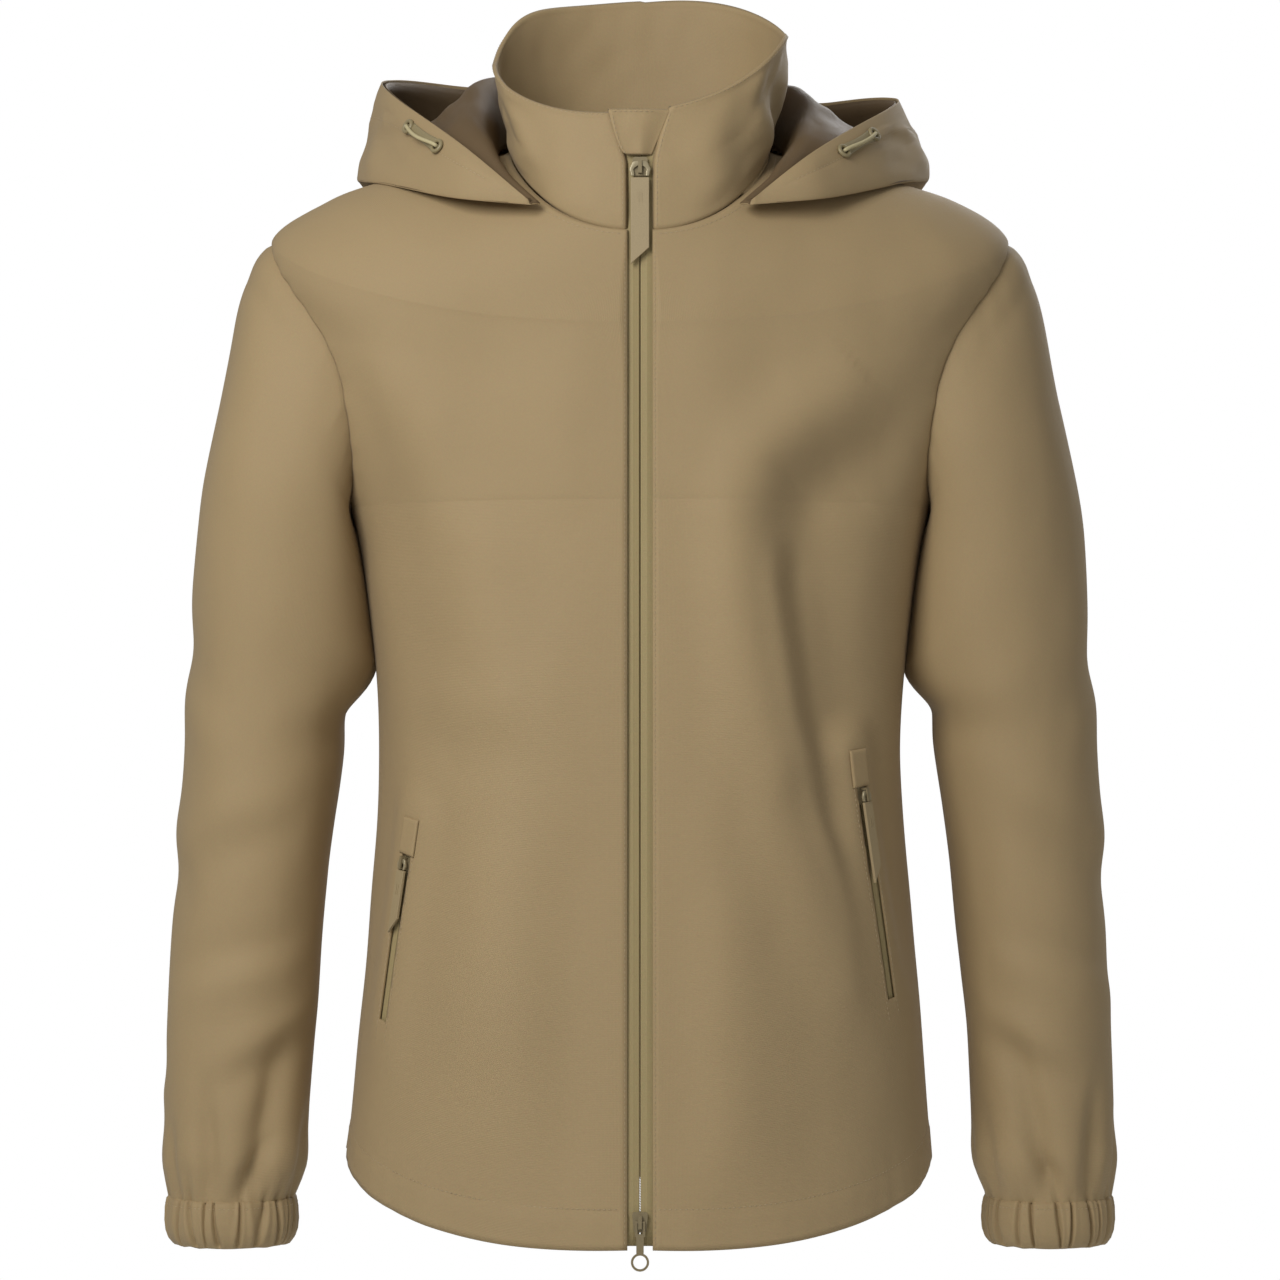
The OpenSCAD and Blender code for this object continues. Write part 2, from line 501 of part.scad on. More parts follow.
pocket_tapes(left_pocket);  // left_pocket_tapes
pocket_coils(left_pocket);  // left_pocket_coils
pocket_slider(left_pocket);  // left_pocket_slider
pocket_pull_link(left_pocket);  // left_pocket_pull_link
pocket_pull_tab(left_pocket, 54);  // left_pocket_pull_tab
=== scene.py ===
import functools
import math
import bpy
import bmesh
from mathutils import Matrix, Vector, noise


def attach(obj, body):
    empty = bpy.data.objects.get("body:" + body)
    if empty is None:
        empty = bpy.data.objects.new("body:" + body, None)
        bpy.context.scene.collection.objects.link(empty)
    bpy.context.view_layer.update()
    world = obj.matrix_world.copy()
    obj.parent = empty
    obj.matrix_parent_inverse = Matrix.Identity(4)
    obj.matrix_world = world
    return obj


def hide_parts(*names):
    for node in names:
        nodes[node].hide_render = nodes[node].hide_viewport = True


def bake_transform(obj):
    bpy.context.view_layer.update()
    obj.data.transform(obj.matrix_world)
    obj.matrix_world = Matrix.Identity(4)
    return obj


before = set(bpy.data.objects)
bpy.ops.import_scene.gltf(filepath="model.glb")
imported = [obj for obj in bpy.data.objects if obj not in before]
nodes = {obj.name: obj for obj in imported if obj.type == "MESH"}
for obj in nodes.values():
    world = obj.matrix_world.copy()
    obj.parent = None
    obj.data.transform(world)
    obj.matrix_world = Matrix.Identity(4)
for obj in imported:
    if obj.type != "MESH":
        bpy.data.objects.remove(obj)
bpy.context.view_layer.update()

# ---- Camera ----
# Straight at the front from chest height and well back, so that little is foreshortened.
camera_data = bpy.data.cameras.new("front_camera")
camera_data.sensor_width = 36
camera_data.lens = 145
camera = bpy.data.objects.new("front_camera", camera_data)
bpy.context.scene.collection.objects.link(camera)
camera.location = (0, -3.2, -0.25)
camera.rotation_euler = (Vector((0, 0, -0.296)) - camera.location).to_track_quat("-Z", "Y").to_euler()
bpy.context.scene.camera = camera

# ---- Studio ----
# A plain pale floor well below the hem, soft boxes in front and behind, and a white surround.
SURROUND_LIGHT, FLOOR_Z = 0.27, -0.95
bpy.context.scene.view_settings.view_transform = "Standard"
surround = bpy.data.worlds.new("white_surround")
surround.use_nodes = True
tree = surround.node_tree
tree.nodes["Background"].inputs["Color"].default_value = (1, 1, 1, 1)
# white where it is seen, and dimmer as a light, so that the soft boxes give the cloth its shape
seen = tree.nodes.new("ShaderNodeLightPath")
strength = tree.nodes.new("ShaderNodeMapRange")
strength.inputs["To Min"].default_value = SURROUND_LIGHT
strength.inputs["To Max"].default_value = 1.0
tree.links.new(seen.outputs["Is Camera Ray"], strength.inputs["Value"])
tree.links.new(strength.outputs["Result"], tree.nodes["Background"].inputs["Strength"])
bpy.context.scene.world = surround


def soft_box(name, place, size, watts):
    lamp = bpy.data.lights.new(name, "AREA")
    lamp.shape = "RECTANGLE"
    lamp.size, lamp.size_y = size
    lamp.energy = watts
    box = bpy.data.objects.new(name, lamp)
    box.location = place
    box.rotation_euler = (Vector((0, 0, -0.3)) - box.location).to_track_quat("-Z", "Y").to_euler()
    bpy.context.scene.collection.objects.link(box)


soft_box("key_box", (-0.8, -1.35, 0.6), (0.8, 1.0), 22)
soft_box("fill_box", (1.9, -1.9, 0.1), (1.4, 1.8), 5)
soft_box("back_box", (0.9, 2.2, 0.9), (1.6, 1.6), 24)

floor_mesh = bmesh.new()
bmesh.ops.create_circle(floor_mesh, cap_ends=True, segments=96, radius=1.3)
bmesh.ops.translate(floor_mesh, verts=floor_mesh.verts, vec=(0, 0, FLOOR_Z))
floor_data = bpy.data.meshes.new("floor")
floor_mesh.to_mesh(floor_data)
floor = bpy.data.objects.new("floor", floor_data)
bpy.context.scene.collection.objects.link(floor)
floor_paint = bpy.data.materials.new("pale_floor")
floor_paint.use_nodes = True
floor_shader = floor_paint.node_tree.nodes["Principled BSDF"]
floor_shader.inputs["Base Color"].default_value = (0.8, 0.8, 0.79, 1)
floor_shader.inputs["Roughness"].default_value = 0.7
floor.data.materials.append(floor_paint)

# ---- Fronts and back ----
# The body of the jacket: two fronts and a back of light, closely woven cloth, joined by side and
# shoulder seams and cut away at the armholes. It hangs from the shoulders in wide soft folds.
HEM_HALF, WAIST_HALF, CHEST_HALF = 181, 162, 180
HEM_FRONT, HEM_SIDE = 650, 606
NECK_FRONT, FRONT_Y, FRONT_SLOPE = -48, -100, 0.09
UNDERARM, SHOULDER = 0.60, 0.84
NOTCH_FRONT, NOTCH_BACK = 31, 25
GAP_HALF = 7.5
# Each station up the body: height share, half width, back y, side y, front z, side z, back z
BODY = [
    (0.00, HEM_HALF, 126, 0, -HEM_FRONT, -HEM_SIDE, -640),
    (0.08, HEM_HALF - 4, 124, 0, 52 - HEM_FRONT, 42 - HEM_SIDE, -592),
    (0.20, WAIST_HALF + 7, 118, 0, -508, -470, -505),
    (0.36, WAIST_HALF, 110, 0, -380, -365, -378),
    (0.48, WAIST_HALF + 5, 113, 0, -290, -288, -285),
    (0.60, CHEST_HALF, 118, 2, -210, -215, -200),
    (0.68, 201, 118, 4, -168, -158, -145),
    (0.76, 217, 112, 5, -133, -100, -95),
    (0.84, 229, 98, 4, -103, -50, -48),
    (0.90, 192, 84, 0, -81, -23, -12),
    (0.95, 134, 72, -8, -64, -5, 10),
    (1.00, 80, 62, -18, NECK_FRONT, 4, 25),
]


def hermite(s, a, leave, b, arrive, h=1):
    """The smooth curve from a to b at share s, with the slopes it leaves and arrives at, per h."""
    return ((2*s**3 - 3*s*s + 1) * a + (s**3 - 2*s*s + s) * h * leave
            + (3*s*s - 2*s**3) * b + (s**3 - s*s) * h * arrive)


def spline(v, stations, k):
    """Value k of the stations at v, on a smooth curve through them."""
    i = 0
    while i < len(stations) - 2 and v >= stations[i + 1][0]:
        i += 1

    def slope(n):
        a, b = stations[max(n - 1, 0)], stations[min(n + 1, len(stations) - 1)]
        return (b[k] - a[k]) / (b[0] - a[0])

    h = stations[i + 1][0] - stations[i][0]
    s = (v - stations[i][0]) / h
    return hermite(s, stations[i][k], slope(i), stations[i + 1][k], slope(i + 1), h)


@functools.lru_cache(None)
def body_station(v):
    return [spline(v, BODY, k) for k in range(1, 7)]


def front_y(z):
    return FRONT_Y + FRONT_SLOPE * (z - NECK_FRONT)


def power(c):
    """Rounds a ring into a shape between an ellipse and a rectangle."""
    return math.copysign(abs(c) ** (2 / 2.3), c)


def ease(t):
    """Runs smoothly from 0 to 1 as t does."""
    t = min(1, max(0, t))
    return t * t * (3 - 2 * t)


def bell(x, width):
    """A smooth bump of height 1 at 0."""
    return math.exp(-(x / width) ** 2)


def rough(x, y, z):
    return noise.noise(Vector((x, y, z)))


def compass(degrees):
    """Cosine and sine of an angle in degrees."""
    return math.cos(math.radians(degrees)), math.sin(math.radians(degrees))


def wrapped(degrees):
    """The same angle between -180 and 180."""
    return (degrees + 180) % 360 - 180


def around(station, turn):
    """The point of a ring at a turn in degrees: 0 is the front, 90 the wearer's left side, 180 the back."""
    half, back, side_y, z_front, z_side, z_back = station
    c, s = compass(turn)
    reach = side_y - front_y(z_front) if c > 0 else back - side_y
    z = z_side + ((z_front if c > 0 else z_back) - z_side) * abs(c) ** 1.4
    return Vector((half * power(s), side_y - reach * power(c), z))


def outward(station_at, turn, v):
    """The direction straight out of a ringed surface."""
    along = around(station_at(v), turn + 0.5) - around(station_at(v), turn - 0.5)
    up = around(station_at(v + 0.002), turn) - around(station_at(v - 0.002), turn)
    return along.cross(up).normalized()


def turn_at(half, x):
    """The turn at which the front of a ring is x to the side."""
    return math.degrees(math.asin((x / half) ** 1.15))


def fold(x, z, line, width, height, steep=True):
    """How far a fold along a line of points stands out: steep ones rise on one side and sink on the other."""
    near, share = None, 0
    for n, ((ax, az), (bx, bz)) in enumerate(zip(line, line[1:])):
        dx, dz = bx - ax, bz - az
        t = min(1, max(0, ((x - ax) * dx + (z - az) * dz) / (dx * dx + dz * dz)))
        px, pz = x - ax - t * dx, z - az - t * dz
        gap = math.hypot(px, pz)
        if near is None or gap < abs(near):
            near = math.copysign(gap, dx * pz - dz * px)
            share = (n + t) / (len(line) - 1)
    q = near / width
    fade = ease(share / 0.25) * ease((1 - share) / 0.25) * math.exp(-(q / 2.1) ** 4)
    return fade * height * (-q * math.exp(0.5 - 0.5 * q * q) if steep else math.exp(-q * q))


FRONT_FOLDS = [
    # points of the fold from top to bottom, width and height in mm, and whether it is steep
    ([(192, -112), (150, -154), (114, -176), (90, -196), (82, -222), (84, -262), (95, -335), (114, -408), (147, -498),
      (164, -545)], 26, 9.5, True),
    ([(86, -226), (88, -262), (99, -335), (118, -408), (150, -494)], 9, 2.8, True),
    ([(60, -330), (74, -440), (80, -560), (78, -640)], 30, 2.6, True),
    ([(38, -80), (60, -160), (50, -240)], 34, 2.0, True),
    ([(130, -190), (140, -270), (150, -350)], 26, -2.5, False),
    ([(-194, -120), (-150, -175), (-120, -250), (-118, -360)], 26, -4.2, True),
    ([(-92, -250), (-108, -360), (-118, -470), (-112, -610)], 34, -4.0, True),
    ([(-52, -380), (-62, -500), (-58, -640)], 28, 2.6, True),
    ([(-40, -80), (-70, -150), (-74, -240)], 30, -2.0, True),
    ([(-150, -330), (-100, -352), (-60, -348)], 18, -1.6, True),
    ([(150, -352), (110, -380), (70, -384)], 18, 1.4, True),
    ([(30, -420), (26, -520), (32, -640)], 26, -1.8, True),
]
BACK_FOLDS = [
    ([(190, -100), (120, -165), (70, -260), (64, -400), (78, -560)], 30, 4.0, True),
    ([(-186, -95), (-112, -180), (-76, -280), (-60, -420), (-66, -600)], 30, -4.0, True),
    ([(12, -260), (4, -380), (10, -620)], 30, 3.0, True),
    ([(-130, -350), (-40, -372), (50, -366), (140, -344)], 18, 1.8, True),
    ([(-120, -400), (-112, -500), (-130, -600)], 24, 2.4, True),
    ([(120, -420), (118, -500), (134, -600)], 24, -2.4, True),
]


# Each pocket slit: turn and height share of its top end, and length
POCKETS = {-1: (56, 0.312, 122), 1: (52, 0.372, 150)}
# how far a slit leans, in degrees of turn, and falls, in height share, for each mm of its length
SLIT_LEAN, SLIT_FALL = 0.065, 0.00147


def near_slit(turn, v):
    """Rough distance in mm from a pocket's slit, where the cloth lies flat."""
    start, top, length = POCKETS[-1 if turn < 0 else 1]
    s = (top - v) / (SLIT_FALL * length)
    aside = (abs(turn) - start - SLIT_LEAN * length * min(1, max(0, s))) * 2
    return math.hypot(aside, max(0, abs(s - 0.5) - 0.5) * length)


def drape(turn, v, p):
    """How far the body's cloth stands off its plain shape, in mm outwards."""
    front = math.cos(math.radians(turn)) > 0
    notch = NOTCH_FRONT if front else NOTCH_BACK
    mid, reach = (UNDERARM + SHOULDER) / 2, (SHOULDER - UNDERARM) / 2
    side = 90 - abs(90 - abs((turn + 180) % 360 - 180))
    hole = math.hypot((90 - side) / notch, (v - mid) / reach) - 1
    calm = ease(hole / 0.5) * ease((1 - v) / 0.06)
    rise = sum(fold(p.x, p.z, *f) for f in (FRONT_FOLDS if front else BACK_FOLDS)) * ease((90 - side) / 14)
    rise += 2.4 * rough(p.x * 0.011, p.y * 0.011, p.z * 0.0055)
    rise += 0.7 * rough(p.x * 0.035 + 7, p.y * 0.035, p.z * 0.016)
    if front:
        edge = abs(p.x) - GAP_HALF
        calm *= (0.15 + 0.85 * ease(edge / 45)) * ease((near_slit(turn, v) - 6) / 24)
    pucker = math.exp(-max(0, hole) / 0.10) * rough(p.z * 0.09, p.y * 0.09, 3) * 1.1
    hem = max(0, 1 - v / 0.10)
    wave = 2.2 * rough(turn * 0.07, 5, 0) + 0.5 * rough(turn * 0.35, 1, 0)
    wave *= hem * hem
    side_seam = bell(90 - side, 1.1) * (-0.8 + 0.5 * rough(9, 0, p.z * 0.06))
    turned_up = 0.55 * (1 - ease((v - 0.030) / 0.004)) if v < 0.04 else 0
    neck_seam = -0.6 * math.exp(-(1 - v) / 0.004)
    return rise * calm + pucker + wave + side_seam + turned_up + neck_seam - 0.7 * math.exp(-max(0, hole) / 0.025)


def body_point(turn, v, depth=0.0):
    """A point of the draped body, or of a layer at a depth behind its outside."""
    p = around(body_station(v), turn)
    n = outward(body_station, turn, v)
    # the hem hangs lower, most between side and front
    c = abs(math.cos(math.radians(turn)))
    hem_drop = max(0, 1 - v / 0.2) ** 1.5 * (5 + 12 * (1 - c) ** 0.5 * c ** 0.7)
    return p + n * (drape(turn, v, p) - depth) - Vector((0, 0, hem_drop))


def cloth_grid(name, rows, columns, place, size, thickness=0.9, inwards=-1):
    """A cloth panel: a grid moved into place, given its thickness, with a map of its cloth in metres."""
    bm = bmesh.new()
    bmesh.ops.create_grid(bm, x_segments=columns, y_segments=rows, size=0.5)
    shares = {vert: (vert.co.x + 0.5, vert.co.y + 0.5) for vert in bm.verts}
    cloth_map = bm.loops.layers.uv.new("cloth")
    for face in bm.faces:
        for loop in face.loops:
            a, b = shares[loop.vert]
            loop[cloth_map].uv = (a * size[0], b * size[1])
    for vert, (a, b) in shares.items():
        vert.co = place(a, b) * 0.001
    return finish_cloth(name, bm, thickness, inwards)


def finish_cloth(name, bm, thickness, inwards=-1):
    """The visible piece of a mesh in metres, given the thickness of its cloth in mm."""
    mesh = bpy.data.meshes.new(name)
    for face in bm.faces:
        face.smooth = True
    bm.to_mesh(mesh)
    bm.free()
    piece = bpy.data.objects.new(name, mesh)
    bpy.context.scene.collection.objects.link(piece)
    if thickness:
        layer = piece.modifiers.new("cloth_thickness", "SOLIDIFY")
        layer.thickness = thickness * 0.001
        layer.offset = inwards
    return piece


def side_turn(v, notch):
    """How far the armhole cuts into a panel at a height, in degrees of turn."""
    c = 2 * (v - UNDERARM) / (SHOULDER - UNDERARM) - 1
    return 0 if abs(c) >= 1 else notch * math.sqrt(1 - c * c)


def texture(tree, kind, source, **inputs):
    node = tree.nodes.new(kind)
    tree.links.new(source, node.inputs["Vector"])
    for key, value in inputs.items():
        node.inputs[key].default_value = value
    return node


def two_tones(tree, tone, low, high, share):
    """The tone made darker and lighter, mixed by a texture."""
    mix = tree.nodes.new("ShaderNodeMix")
    mix.data_type = "RGBA"
    mix.inputs["A"].default_value = (*[c * low for c in tone], 1)
    mix.inputs["B"].default_value = (*[min(1, c * high) for c in tone], 1)
    tree.links.new(share, mix.inputs["Factor"])
    return mix.outputs["Result"]


def relief(tree, height, strength, distance):
    """A bump from a texture, for what is too small to model."""
    bump = tree.nodes.new("ShaderNodeBump")
    bump.inputs["Strength"].default_value = strength
    bump.inputs["Distance"].default_value = distance
    tree.links.new(height, bump.inputs["Height"])
    return bump


def shell_cloth(name, tone, weave=1.0):
    """Matt plain-weave cloth: fine threads both ways, a faint slub, a soft sheen and crinkles too small to model."""
    cloth = bpy.data.materials.new(name)
    cloth.use_nodes = True
    tree = cloth.node_tree
    shader = tree.nodes["Principled BSDF"]
    shader.inputs["Roughness"].default_value = 0.62
    shader.inputs["Sheen Weight"].default_value = 0.05
    shader.inputs["Sheen Roughness"].default_value = 0.5
    shader.inputs["Specular IOR Level"].default_value = 0.28
    along = tree.nodes.new("ShaderNodeUVMap")
    along.uv_map = "cloth"
    place = tree.nodes.new("ShaderNodeTexCoord")
    warp, weft = [texture(tree, "ShaderNodeTexWave", along.outputs["UV"], Scale=THREADS * weave, Distortion=0.6,
                          Detail=1) for _ in range(2)]
    weft.bands_direction = "Y"
    slub, cloud, crinkle = [texture(tree, "ShaderNodeTexNoise", place.outputs["Object"], Scale=scale, Detail=detail)
                            for scale, detail in ((900, 3), (7, 4), (34, 5))]
    threads = tree.nodes.new("ShaderNodeMath")
    threads.operation = "MULTIPLY"
    tree.links.new(warp.outputs["Fac"], threads.inputs[0])
    tree.links.new(weft.outputs["Fac"], threads.inputs[1])
    fleck = tree.nodes.new("ShaderNodeMix")
    fleck.data_type = "RGBA"
    fleck.blend_type = "MULTIPLY"
    fleck.inputs["Factor"].default_value = 0.16
    tree.links.new(two_tones(tree, tone, 0.93, 1.05, cloud.outputs["Fac"]), fleck.inputs["A"])
    tree.links.new(slub.outputs["Color"], fleck.inputs["B"])
    tree.links.new(fleck.outputs["Result"], shader.inputs["Base Color"])
    small = relief(tree, threads.outputs["Value"], 0.4, 0.0002)
    large = relief(tree, crinkle.outputs["Fac"], 0.22, 0.0016)
    tree.links.new(small.outputs["Normal"], large.inputs["Normal"])
    tree.links.new(large.outputs["Normal"], shader.inputs["Normal"])
    return cloth


# threads to the metre, as the wave texture counts them
THREADS = 420
shell = shell_cloth("tan_shell_cloth", (0.405, 0.292, 0.150))


def row_height(b):
    """Height share of a row of the panels: the rows lie closer at both ends of the armhole."""
    if b < 0.5:
        return UNDERARM * b / 0.5
    if b < 0.8:
        return UNDERARM + (SHOULDER - UNDERARM) * (1 - math.cos(math.pi * (b - 0.5) / 0.3)) / 2
    return SHOULDER + (1 - SHOULDER) * (b - 0.8) / 0.2


def front_place(side):
    def place(a, b):
        b = row_height(b)
        start = turn_at(body_station(b)[0], GAP_HALF)
        end = 90 - 0.15 - side_turn(b, NOTCH_FRONT)
        return body_point(side * (start + (end - start) * (a if side > 0 else 1 - a)), b)
    return place


def back_place(a, b):
    b = row_height(b)
    start = 90 + 0.15 + side_turn(b, NOTCH_BACK)
    return body_point(start + (360 - 2 * start) * a, b)


right_front, left_front = [cloth_grid(f"jacket_{hand}_front", 210, 84, front_place(side), (0.30, 0.66))
                           for side, hand in ((-1, "right"), (1, "left"))]
back = cloth_grid("jacket_back", 190, 130, back_place, (0.56, 0.67))
for piece, node in ((right_front, "right_front_panel"), (left_front, "left_front_panel"), (back, "back_panel")):
    piece.data.materials.append(shell)
    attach(piece, "shell")
    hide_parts(node)

# ---- Sleeves ----
# Set-in sleeves of the same cloth: the cap is sewn into the armhole, one seam runs down the inside
# of the arm, and the lower end is gathered into the cuff. The cloth breaks softly above the cuff.
CUFF_Z, CUFF_R, CUFF_H = 640, 40, 31
CAP = 0.22
# Each station down the arm: share, centre x, y, z, half width, half depth, rise of the outer side
ARM = [
    (0.22, 224, 6, -240, 49, 66, 45),
    (0.40, 231, 8, -335, 50, 59, 20),
    (0.60, 241, 8, -435, 47, 54, 6),
    (0.80, 248, 6, -530, 45.5, 50, 0),
    (0.93, 250.5, 4, -598, 44.5, 47, 0),
    (0.975, 252, 3, 14 - CUFF_Z, 43, 44, 0),
    (1.00, 254, 3, -CUFF_Z, CUFF_R - 0.5, CUFF_R - 0.5, 0),
]


@functools.lru_cache(None)
def arm_station(t):
    return [spline(t, ARM, k) for k in range(1, 7)]


def arm_ring(clock, t):
    x, y, z, half, deep, rise = arm_station(t)
    c, s = compass(clock)
    return Vector((x + half * c, y - deep * s, z + rise * c))


def hole_place(clock):
    """Where the cap is sewn to the body at a clock angle: turn and height share."""
    c, s = compass(clock)
    return 90 - (NOTCH_FRONT if s > 0 else NOTCH_BACK) * s, UNDERARM + (SHOULDER - UNDERARM) * (1 + c) / 2


@functools.lru_cache(None)
def cap_ends(clock):
    """Both ends of the cap at a clock angle, how the cloth leaves and arrives, and the body's outward direction."""
    c, s = compass(clock)
    turn, v = hole_place(clock)
    a = around(body_station(v), turn)
    edge = outward(body_station, turn, v)
    b = arm_ring(clock, CAP)
    leave = Vector((0.5 + 0.35 * c, -0.2 * s, -0.8 + 0.2 * c)).normalized() * (b - a).length
    arrive = (arm_ring(clock, CAP + 0.01) - b) * CAP / 0.01
    return a, leave, b, arrive, edge


def sleeve_skin(clock, t):
    """The sleeve before it is draped: clock 0 is its outer side and 90 its front, t runs down the arm."""
    if t >= CAP:
        return arm_ring(clock, t)
    a, leave, b, arrive, _ = cap_ends(clock % 360)
    s = t / CAP
    return hermite(s, a, leave, b, arrive)


SLEEVE_FOLDS = [
    # share down the arm against clock angle: start, end, width in shares, height
    ((0.30, 250), (0.42, 90), 0.030, 2.4),
    ((0.44, 80), (0.37, -60), 0.028, -2.0),
    ((0.52, 130), (0.60, 20), 0.030, 2.2),
    ((0.62, 60), (0.56, -80), 0.030, 2.0),
    ((0.70, 150), (0.76, 10), 0.024, -2.0),
    ((0.80, 170), (0.87, 60), 0.022, 2.6),
    ((0.87, 20), (0.92, -110), 0.018, -2.4),
]
SLEEVE_GATHERS = [
    # hollows running up from the cuff: clock angle and share at the top and at the cuff, width, depth
    (62, 0.84, 76, 1.0, 9, 6.0), (138, 0.78, 112, 0.965, 13, 6.5), (134, 0.92, 90, 1.0, 8, 6.0),
    (28, 0.90, 36, 1.0, 8, 4.0), (170, 0.88, 158, 1.0, 10, 4.5), (-10, 0.92, -6, 1.0, 8, 3.4),
    (-48, 0.86, -40, 1.0, 11, 5.0), (-92, 0.90, -80, 1.0, 10, 4.2), (-128, 0.85, -120, 1.0, 11, 5.0),
    (-168, 0.92, -160, 1.0, 9, 3.6), (112, 0.955, 118, 1.0, 7, 3.2), (50, 0.95, 54, 1.0, 6, 2.6),
]


def sleeve_drape(side, clock, t, p):
    clock = clock % 360
    lean = clock + (18 if side > 0 else 0)
    lift = 0
    for (t0, c0), (t1, c1), width, height in SLEEVE_FOLDS:
        for turn in (-360, 0, 360):
            s = (lean + turn - c0) / (c1 - c0)
            if 0 < s < 1:
                q = (t - t0 - (t1 - t0) * s) / width
                lift += math.sin(math.pi * s) * height * -q * math.exp(0.5 - 0.5 * q * q)
    lift += 3.0 * rough(p.x * 0.014 + 3 * side, p.y * 0.014, p.z * 0.007)
    lift += 0.8 * rough(p.x * 0.04, p.y * 0.04 + side, p.z * 0.02)
    near_cuff = ease((t - 0.955) / 0.04)
    lift *= 1 - 0.7 * near_cuff
    for c0, t0, c1, t1, width, depth in SLEEVE_GATHERS:
        s = (t - t0) / (t1 - t0)
        if s > 0:
            off = wrapped(lean - c0 - (c1 - c0) * min(s, 1))
            lift -= depth * ease(s / 0.7) * (1 - ease((s - 1) / 0.4)) * bell(off, width)
    lift += 1.8 * bell(t - 0.962, 0.024)
    return lift * ease(t / 0.10)


@functools.lru_cache(None)
def armhole_edge(side, clock):
    """The sewn edge of the body at the armhole, and how far it lies from the sleeve's own start."""
    a, _, _, _, edge_normal = cap_ends(clock)
    turn, v = hole_place(clock)
    edge = body_point(side * turn, v)
    edge.x *= side
    return edge - a, edge_normal


@functools.lru_cache(None)
def side_wall(step):
    """How far out the body's side stands at a height, in steps of 4 mm down."""
    low, high = 0.0, 0.7
    for _ in range(18):
        v = (low + high) / 2
        if body_station(v)[4] < -4 * step:
            low = v
        else:
            high = v
    return around(body_station(v), 90).x


def sleeve_place(side):
    def place(a, b):
        clock = round(180 + 360 * (a if side > 0 else 1 - a), 4)
        t = b ** 1.2
        p = sleeve_skin(clock, t)
        round_arm = sleeve_skin(clock + 1, t) - sleeve_skin(clock - 1, t)
        down_arm = sleeve_skin(clock, t + 0.004) - sleeve_skin(clock, max(0, t - 0.004))
        n = round_arm.cross(down_arm).normalized()
        pucker = 0.9 * math.exp(-t / 0.03) * rough(clock * 0.16, side, 2)
        from_seam = wrapped(clock - 180)
        inner_seam = -0.7 * bell(from_seam, 2.2) * ease(t / 0.05)
        p = p + n * (sleeve_drape(side, clock, t, p) + pucker * ease(t / 0.01) + inner_seam)
        # the outer side of the upper arm hangs a little flatter
        p.x -= 12 * bell(p.z + 118, 62) * max(0, math.cos(math.radians(clock))) ** 0.7 * ease(t / 0.05)
        # the inner side lies against the body below the arm
        near = bell(from_seam, 46) * ease(t / 0.06) * (1 - ease((t - 0.28) / 0.09))
        p.x += near * min(0, side_wall(round(-p.z / 4)) - 1.5 - p.x)
        # the cloth is turned in and sewn just inside the body's edge
        gap, edge_normal = armhole_edge(side, clock % 360)
        p += gap * (1 - ease(t / 0.07))
        p -= edge_normal * 1.3 * (1 - ease(t / 0.006)) + down_arm.normalized() * 2.0 * (1 - ease(t / 0.004))
        p = Vector((side * p.x, p.y, p.z))
        # the lower end is gathered into the top of the cuff
        gathered = ease((t - 0.968) / 0.022)
        if gathered:
            round_cuff = ((0 if side > 0 else 0.5) - clock / 360) % 1
            p = p.lerp(cuff_place(side)(round_cuff, 0.335) - Vector((0, 0, 0.8)), gathered)
        return p
    return place


def close_tube(piece, gap=0.0001):
    """Joins the two long edges of a grid that has been rolled into a tube."""
    bm = bmesh.new()
    bm.from_mesh(piece.data)
    bmesh.ops.remove_doubles(bm, verts=bm.verts, dist=gap)
    bm.to_mesh(piece.data)
    bm.free()


# The band is folded round its elastic, which draws it into upright folds with narrow hollows between.
CUFF_FOLDS = 23
# The band's section, outwards and upwards: up the inside, over the top, down the outside and closed underneath
CUFF_PATH = [(-5.4, -CUFF_H + 2.5), (-4.4, -CUFF_H / 2), (-3.8, -3), (-1.6, -0.6), (0.2, -2.4), (1.4, -8),
             (1.8, -CUFF_H / 2), (1.0, 9 - CUFF_H), (-0.8, 4.2 - CUFF_H), (-3.4, 0.6 - CUFF_H),
             (-5.4, 2.5 - CUFF_H)]


def cuff_place(side):
    def place(a, b):
        angle = 2 * math.pi * (a if side > 0 else 1 - a)
        round_band = Vector((math.cos(angle), math.sin(angle), 0))
        share = b * (len(CUFF_PATH) - 1)
        n = min(int(share), len(CUFF_PATH) - 2)
        f = share - n
        r, z = [low * (1 - f) + high * f for low, high in zip(CUFF_PATH[n], CUFF_PATH[n + 1])]
        down = -z / CUFF_H
        wander = 0.9 * rough(math.cos(angle) * 2.6, math.sin(angle) * 2.6, 6 * side)
        slant = 0.9 * rough(math.cos(angle) * 4.2, math.sin(angle) * 4.2, 3 * side) * (down - 0.5)
        turn = angle / (2 * math.pi) * CUFF_FOLDS + wander + slant
        # the same fold number on both sides of the band's own join
        off = turn - round(turn)
        depth = 1.15 + 0.5 * rough(math.cos(angle) * 5, math.sin(angle) * 5, side)
        hollow = depth * (3.2 * bell(off, 0.12) - 0.5 * math.cos(math.pi * off))
        outer = ease((r + 4.2) / 3.2)
        wobble = 1.0 * rough(math.cos(angle) * 4, math.sin(angle) * 4, 8 + z * 0.03)
        r = CUFF_R + r - outer * hollow + wobble * outer
        z += 0.8 * wobble * (1 if z < -CUFF_H / 2 else 0.5)
        return Vector((side * ARM[6][1], ARM[6][2], -CUFF_Z)) + round_band * r + Vector((0, 0, z))
    return place


